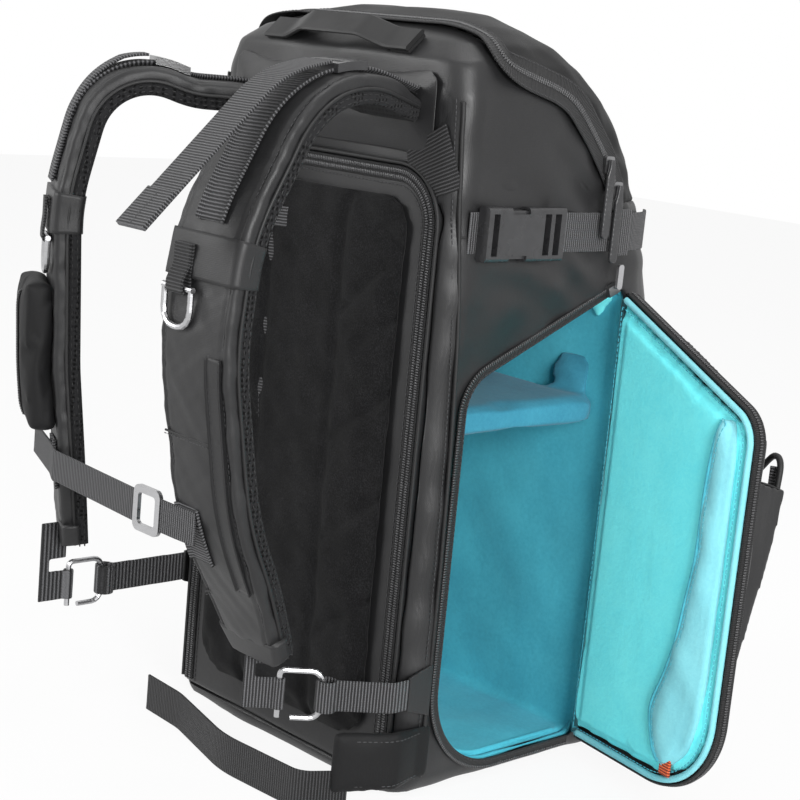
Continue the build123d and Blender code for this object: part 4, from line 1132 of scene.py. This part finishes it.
# --- shoulder straps ---
for side in (1, -1):
    tag = SIDES[side]
    path, ups = routes[side]
    run = distances(path)
    left_over = run[-1] - run
    narrow = 1 - 0.36 * np.clip(1 - left_over / 0.07, 0, 1) ** 1.6
    thin = 1 - 0.45 * np.clip(1 - left_over / 0.02, 0, 1) ** 2
    root = np.clip(1 - run / 0.12, 0, 1) ** 1.5
    narrow = narrow * (1 - 0.26 * root)
    path = path - np.outer(root * 0.26 * STRAP_HALF, [1, 0, 0])
    thin = thin * (1 - 0.5 * np.clip(1 - run / 0.03, 0, 1) ** 2)
    scale = np.column_stack([narrow, np.ones(len(path))])
    section = rounded_section(COVER_WIDTH, 0.0094, 0.0036, 5, COVER_FOOT, 0.0012, fine=37)
    rings = np.broadcast_to(section, (len(path), *section.shape)).copy()
    top = rings[:, :, 1] > 0.009
    inner = np.exp(-(((np.abs(rings[:, :, 0]) - 0.0262) / 0.0013) ** 2))
    rings[:, :, 1] -= top * inner * 0.0011
    rings[:, :, 1] = COVER_FOOT + (rings[:, :, 1] - COVER_FOOT) * thin[:, None]
    cover = sweep(f"strap_cover_{tag}", path, rings, ups, scale=scale)
    co = coords(cover)
    push(cover, 0.0004 * waves(co, 0.035, 21 + side) + 0.0002 * waves(co, 0.012, 31 + side))
    finish(on_strap(cover, side), "strap", "pack", f"shoulder_pad_{tag}", fill=FILL)
    section = rounded_section(0.0632, 0.0086, 0.0032, 5, -0.004)
    under = sweep(f"strap_mesh_pad_{tag}", path, section, ups, scale=scale)
    finish(on_strap(under, side), "mesh", "pack", f"strap_mesh_{tag}", fill=FILL)
    for edge, way in ((-1, "out"), (1, "in")):
        outwards = np.array([-edge, 0, 0]) * narrow[:, None]
        cord_piece = piping(f"strap_piping_{tag}_{way}", path + outwards * 0.0312 + ups * 0.0048, ups, 0.0012)
        finish(on_strap(cord_piece, side), "trim", "pack")
        strap_sewn(f"strap_stitches_{tag}_{way}", path + outwards * 0.0262, ups, side, 0.0122)
        line = path + outwards * 0.0316
        slits = [
            capsules("slits", line[row:], ups[row:], 0.005, 0.0032, 0.0006, lift, flat=0.9)
            for row, lift in enumerate((-0.0014, 0.0018))
        ]
        finish(on_strap(joined(f"strap_slits_{tag}_{way}", *slits), side), "trim", "pack")
    # elastic band, and the ring's tab
    z0, z1 = BAND_Z[side] - BAND_HALF, BAND_Z[side] + BAND_HALF
    band_path, band_ups = lane(side, 0, 0, z0, z1, reach=0.08)
    section = rounded_section(0.0645, 0.0198, 0.005, 5, -0.005, 0.0012)
    flare = 1 + 0.006 * np.cos(np.linspace(0, 2 * math.pi, len(band_path)))
    band = sweep(f"strap_band_{tag}", band_path, section, band_ups, scale=np.column_stack([flare, flare]))
    finish(on_strap(band, side), "strap", "pack", "strap_bands")
    foot = z0 - 0.004
    face = min(fall_y(side, foot), fall_y(side, foot - 0.022)) - 0.0142
    bar = face - 0.0021
    x = STRAP_X - 0.012
    at_band = fall_y(side, BAND_Z[side]) - 0.0162
    loop = rounded(
        [
            (x, at_band, BAND_Z[side] + 0.008), (x, bar + 0.0027, foot + 0.004),
            (x, bar + 0.0027, foot - 0.0027), (x, bar - 0.0027, foot - 0.0027),
            (x, bar - 0.0027, foot + 0.004),
            (x, at_band - 0.0019, BAND_Z[side] - 0.004), (x, at_band - 0.0019, BAND_Z[side] + 0.008),
        ],
        [0.006, 0.0026, 0.0026, 0.004, 0.006], step=0.0006,
    )
    ring_tab = strap(f"ring_tab_{tag}", loop, upright_ups(loop), 0.015, 0.0015)
    finish(on_strap(ring_tab, side), "webbing_dark", "pack", "d_ring_tabs")
    # sewn strand of the load lifter
    strand_path, strand_ups = lane(side, 0, 0, BAND_Z[side] + 0.016, 1.0, 0.0)
    strand = strap(f"lifter_strand_{tag}", strand_path, strand_ups, WEB_WIDTH, 0.0017, low=0.0134)
    finish(on_strap(strand, side), "webbing", "pack", "load_lifters")
    for row, across in (("a", -0.0102), ("b", 0.0102)):
        name = f"strand_stitches_{tag}_{row}"
        strap_sewn(name, strand_path, strand_ups, side, 0.0152, across, (0.003, 0.0023, 0.00034))
    # sternum rail
    rail_path, rail_ups = lane(side, -0.0155, 0, 0.161, 0.195, reach=0.05)
    rail = strap(f"sternum_rail_{tag}", rail_path, rail_ups, 0.022, low=0.0128)
    finish(on_strap(rail, side), "webbing", "pack", "sternum_rails")

# right tail lies back over its strand; the left one hangs
lie_path, lie_ups = lane(-1, 0, 0, 0.353, 1.0, 0.052)
away = np.linspace(0, 1, len(lie_path))
lie_path = lie_path + lie_ups * (0.0204 - 0.0042 * np.clip((away - 0.12) / 0.3, 0, 1) ** 0.8)[:, None]
lying = on_strap(strap("lifter_tail_right", lie_path, lie_ups), -1)
finish(lying, "webbing", "pack", "load_lifters")
hanging = [(70, 27), (104, 19), (192, -68)]
tail = rounded([(STRAP_X, BACK - out * MM, YOKE_Z + up * MM) for out, up in hanging], [0.07])
tail = smooth_rows(resample(tail, 0.0015), 6)
tail_ups = upright_ups(tail)
hang = strap("lifter_tail", tail, tail_ups)
fold = strap("lifter_fold", tail[-20:] + tail_ups[-20:] * WEB_THICK, tail_ups[-20:], WEB_WIDTH, 0.0015)
finish(joined("lifter_tail_left", hang, fold), "webbing", "pack", "load_lifters")
sewn("lifter_fold_stitches", tail[-17:-2], tail_ups[-17:-2], "pack", lift=0.0024)

# slit pocket, bar tack, patch and hem on the near strap
slit_path, slit_ups = lane(1, 0.0, 0, 0.15, 0.285, reach=0.06)
flap_path = slit_path + np.outer(np.linspace(0.0205, 0.0175, len(slit_path)), [1, 0, 0])
flap = strap("slit_flap", flap_path, slit_ups, 0.0125, 0.0018, low=COVER_TOP - 0.0016)
finish(on_strap(flap, 1), "strap", "pack", fill=FILL)
strap_sewn("slit_stitches", flap_path, slit_ups, 1, COVER_TOP + 0.0001, 0.0046)
for number, (z, a0, a1, tilt) in enumerate(((0.236, -0.029, 0.013, 0.0), (0.1385, -0.026, 0.022, 0.018))):
    cross_path, cross_ups = lane(1, 0, COVER_TOP - 0.0002, z - 0.003, z + 0.003, reach=0.06)
    middle, up = cross_path[len(cross_path) // 2], cross_ups[len(cross_ups) // 2]
    steps = np.linspace(a0, a1, 30)
    bar_line = np.array([middle + np.array([a, 0, tilt * (a - a0) / (a1 - a0)]) for a in steps])
    bar_ups = facing(up, bar_line)
    finish(on_strap(piping(f"strap_seam_{number}", bar_line, bar_ups, 0.0007), 1), "trim", "pack")
    size = (0.003, 0.0023, FINE_RADIUS)
    strap_sewn(f"strap_seam_stitches_{number}", bar_line, bar_ups, 1, 0.0003, 0.002, size)
for side in (1, -1):
    end_path, end_ups = lane(side, 0, 0, -1, 0.117 if side > 0 else 0.137, reach=0.03)
    hem_width = 0.0545
    taper = np.linspace(hem_width, 0.043, len(end_path)) / hem_width
    section = rounded_section(hem_width, 0.0125, 0.004, 4, 0.0006, 0.0006)
    scale = np.column_stack([taper, np.ones(len(taper))])
    hem = sweep(f"strap_hem_{SIDES[side]}", end_path, section, end_ups, scale=scale)
    finish(on_strap(hem, side), "strap", "pack", fill=FILL)

# --- sternum strap ---
y_web = float(sum(b[1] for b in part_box("sternum_strap_left")) / 2)
spots = [(0.062, y_web + 0.0008, STERNUM_Z), (0.045, y_web, STERNUM_Z), (0.0303, y_web, STERNUM_Z)]
left_line = resample(spots, 0.0015)
left_web = strap("sternum_web_left", left_line, facing(REARWARD, left_line), 0.020)
finish(left_web, "webbing", "pack", "sternum_strap_left")
rail_y = float(min(fall_y(-1, 0.168), fall_y(-1, 0.188))) - 0.0146 - 0.001
spots = [(STRAP_X + 0.040, rail_y - 0.006, STERNUM_Z), (0.052, rail_y, STERNUM_Z), (0.035, rail_y, STERNUM_Z)]
right_line = resample(rounded([*turned(spots, -1), (0.0037, y_web, STERNUM_Z)], [0.060, 0.006]), 0.0015)
right_web = strap("sternum_web_right", right_line, level_ups(right_line), 0.020)
finish(right_web, "webbing", "pack", "sternum_strap_right")

# --- webbing that keeps the CAD's own run, softened ---
for name, node, along in (
    ("lower_webbing", "lower_straps", (0.7, 0.7, 0)),
    ("strap_end_web", "strap_end_webbing", (0.75, 0.66, 0)),
    ("side_webbing", "side_strap_webbing", (-0.4, 1, 0)),
):
    finish(uv_from(soft_copy(name, [node], 0.0007, 3), (0, 0, 1), along), "webbing", "pack", node)
cloth("corner_tab_fabric", "corner_tabs", 0.0009, 3, "shell", "pack")

# --- hip fins and belt ---
fins = cushion_of("hip_fin_pads", "hip_fins", 0.004, 4.0, 0.003)
co = coords(fins)
flat = np.clip((co[:, 1] + 0.118) / 0.02, 0, 1) * (co[:, 0] > 0)
co[:, 0] -= flat * 0.72 * np.maximum(0, co[:, 0] - HALF)
co[:, 2] = 0.031 + (co[:, 2] - 0.031) * (1 - 0.12 * flat)
set_coords(fins, co)
finish(fins, "lid", "pack", "hip_fins", fill=FILL)
fin_x = HALF + 0.004
fin = rounded([(fin_x, BACK + 0.026), (fin_x, BACK - 0.006), (fin_x - 0.020, BACK - 0.042)], [0.030])
heading = (fin[-1] - fin[-2]) / np.linalg.norm(fin[-1] - fin[-2])
belt = rounded(
    [
        fin[-1] - heading * 0.012, fin[-1], fin[-1] + heading * 0.018,
        (0.020, BACK - 0.062), (-0.050, BACK - 0.044), (-0.088, BACK - 0.042),
    ],
    [0.01, 0.015, 0.090, 0.060],
)
belt = resample(belt, PITCH)
belt = np.column_stack([belt, np.full(len(belt), 0.0125)])
finish(strap("belt_webbing", belt, level_ups(belt)), "webbing_dark", "pack", "waist_belt")
for row, z in (("low", 0.016), ("high", 0.046)):
    line = np.column_stack([fin, np.full(len(fin), z)])
    path, ups = on_surface(surface(fins), line + np.array([0.012, -0.004, 0]))
    sewn(f"fin_stitches_{row}", smooth_rows(path, 2), ups, "pack")

# --- linings, shelf and flap ---
# the compartment's linings and the opening's binding wear the cyan lining darkened as painted shade, the
# shelf a deeper painted shade; the flap keeps the plain cyan
for part, voxel in (("side_{}_left", 0.0025), ("side_{}_right", 0.003), ("compartment_{}", 0.0025)):
    name, node = part.format("fabric"), part.format("lining")
    cloth(name, node, voxel, 4, "lining_in_painted_shade", "pack", (0.0007, 0.06, 41), fill=FILL)
shelf = cushion_of("shelf_cushion", "shelf_divider", 0.004, 3.0, 0.003)
finish(shelf, "lining_in_painted_deep_shade", "shelf", "shelf_divider", fill=FILL)
flap = cushion_of("flap_cushion", "flap_divider", 0.0028, 3.0, 0.002)
finish(flap, "lining", "pack", "flap_divider", fill=FILL)
path, outs = open_run(*door_outline(0.0, HALF - 0.0115))
finish(piping("opening_binding", path, outs, 0.0018), "lining_in_painted_shade", "pack")

# --- door ---
cloth("door_fabric", "door_skin", 0.0015, 3, "shell", "side_door", (0.0006, 0.07, 51))
cushion = remeshed(cad_copy("door_cushion", "door_lining"), 0.0038)
DOOR_FACE = swung([[HALF - 1, HINGE_Y, 0]])[0] - np.array([HALF, HINGE_Y, 0])
outer_side = (coords(cushion) @ DOOR_FACE).min() + 0.0015
cushion = puffed(cushion, 3.0, 0.003)
co = coords(cushion)
set_coords(cushion, co + np.outer(np.maximum(0, outer_side - co @ DOOR_FACE), DOOR_FACE))
finish(cushion, "lining", "side_door", "door_lining", fill=FILL)
rim_groove = door_outline(-0.0135, HALF - 0.0105)[0]
groove(cushion, [swung(rim_groove)], 0.0016, 0.0022)
cushion_tree = surface(cushion)


def on_door(points, offset):
    """Door points given shut, as (forward, up) in millimetres, laid on the open door's cushion."""
    path = []
    for p in swung([[HALF - 0.02, y * MM, z * MM] for y, z in points]):
        hit = cushion_tree.ray_cast(Vector(p + DOOR_FACE * 0.05), Vector(-DOOR_FACE))[0]
        if hit is None:
            hit = cushion_tree.find_nearest(Vector(p))[0]
        path.append(np.array(hit) + DOOR_FACE * offset)
    return smooth_rows(path, 2), facing(DOOR_FACE, path)


mouth = [
    (-57, 262), (-53, 246), (-50, 218), (-49.5, 193), (-49, 167), (-45, 140),
    (-41, 112), (-34, 87), (-26, 64), (-31, 42), (-38, 30),
]
edge = [
    (-59, 262), (-68, 244), (-69, 218), (-69, 193), (-69, 167), (-69, 140),
    (-69, 112), (-69, 87), (-67, 66), (-60, 46), (-46, 30),
]
mouth, edge = (resample(spline(p, 3.0), 3.0) for p in (mouth, edge))
count = min(len(mouth), len(edge))
mouth, edge = (line[[int(k * (len(line) - 1) / (count - 1)) for k in range(count)]] for line in (mouth, edge))
ROWS = 15
grid = []
for share in np.linspace(0, 1, ROWS):
    bulge = 0.0009 + 0.0022 * math.sin(math.pi * min(1, share * 1.15 + 0.1)) ** 0.8
    grid.append(on_door(mouth * (1 - share) + edge * share, bulge)[0])
grid = np.array(grid).reshape(-1, 3)
grid = grid + DOOR_FACE * (0.0006 * waves(grid, 0.03, 71))[:, None]
pocket = solidified(new_mesh("door_pocket_fabric", grid, grid_faces(ROWS, count)), 0.0011, 0)
finish(pocket, "pocket_lining", "side_door", "door_inner_pocket")
# the hem piping takes the dark cyan thread: a real hem, darkened as a painted shade line along the pocket's
# mouth
path, ups = on_door(mouth, 0.0022)
finish(piping("pocket_hem_painted_shade_line", path, ups, 0.0011), "lining_thread", "side_door")
path, ups = on_door(mouth + np.array([-4.0, 0]), 0.0038)
sewn("pocket_stitches", path, ups, "side_door", look="lining_thread")
path, outs = open_run(*door_outline(-0.0052, HALF - 0.0095))
finish(opened(piping("door_binding", path, outs, 0.0022)), "pocket_lining", "side_door")
path, outs = open_run(*door_outline(-0.0095, HALF - 0.0105))
inwards = facing((-1.0, 0, 0), path)
seam = capsules("door_stitches", path, inwards, STITCH_PITCH, STITCH_LENGTH, 0.0004, 0.0009)
finish(opened(seam), "lining_thread", "side_door")
cloth("bottle_pocket_fabric", "bottle_pocket", 0.0014, 4, "shell", "side_door", (0.0006, 0.05, 61))
cord_line = spline([
    (0.206, 0.083, 0.206), (0.214, 0.087, 0.218), (0.224, 0.086, 0.229),
    (0.234, 0.079, 0.226), (0.236, 0.075, 0.206),
])
cord = piping("pocket_drawcord", cord_line, facing((0, 1.0, 0), cord_line), 0.0021)
finish(cord, "trim", "side_door")
tab_line = np.array([(0.2305, 0.0805, z) for z in np.linspace(0.224, 0.203, 24)])
tab = strap("pocket_tab", tab_line, facing((0.5, -0.86, 0), tab_line), 0.008, 0.002)
finish(tab, "webbing", "side_door")
lo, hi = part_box("door_pocket_pull")
mid = (lo + hi) / 2
pull = np.array([(mid.x, mid.y, z) for z in np.linspace(hi.z, lo.z, 24)])
orange = strap("orange_pull_web", pull, facing((-0.17, -0.98, 0), pull), 0.0095, 0.0022)
finish(orange, "orange", "door_pocket_pull", "door_pocket_pull")

# --- phone pocket ---
phone = cushion_of("phone_pocket_pad", "phone_pocket", 0.0035, 4.0, 0.003)
finish(phone, "lid", "pack", "phone_pocket", fill=FILL)
zip_path, zip_ups = lane(-1, -0.006, 0.034, 0.205, 0.288, reach=0.03)
zip_path, zip_ups = on_surface(surface(phone), turned(zip_path, -1), offset=0.0002)
zip_path, zip_ups = smooth_rows(zip_path, 4), smooth_rows(zip_ups, 4)
finish(band_along("phone_zip_tape", zip_path, zip_ups, -0.0045, 0.0045, 0.0, 0.0009), "tape", "pack")
finish(coil("phone_zip_coil", zip_path, zip_ups, 0.0012, width=0.003), "coil", "pack")

# --- long pulls of the lid's zip ---
for number in (1, 2):
    node = f"lid_zip_pull_{number}"
    lo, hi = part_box(node)
    mid = (lo + hi) / 2
    heights = np.linspace(hi.z - 0.0005, lo.z + 0.0005, 60)
    pull = np.column_stack([np.full(60, mid.x), np.full(60, mid.y), heights])
    down = (hi.z - heights) / (hi.z - lo.z)
    neck = np.where(down < 0.22, 0.55 + 0.45 * (down / 0.22) ** 2, 1.0)
    tip = np.where(down > 0.93, np.sqrt(np.maximum(0.05, 1 - ((down - 0.93) / 0.07) ** 2)), 1.0)
    ribs = 1 + 0.09 * np.sin(down * 2 * math.pi * 16) * (down > 0.3) * (down < 0.9)
    section = rounded_section(hi.y - lo.y, hi.x - lo.x, 0.0011, 4)
    scale = np.column_stack([neck * tip, ribs])
    piece = sweep(f"zip_pull_{number}", pull, section, facing((1.0, 0, 0), pull), scale=scale)
    finish(piece, "plastic", node, node)

# --- hard pieces that keep their CAD shape ---
dress("plastic", "side_buckle_female", "side_buckle_male", "lifter_buckles", "pocket_cord_lock")
dress("alloy", "d_ring_left", "d_ring_right", "strap_hook_left", "strap_hook_right", angle=62)
dress("alloy", "sternum_hook", "door_zip_pull")
dress("gunmetal", "lid_zip_sliders", "door_zip_slider")
dress("rubber", "haul_handle")
dress("trim", "handle_anchors", "phone_pocket_pull")
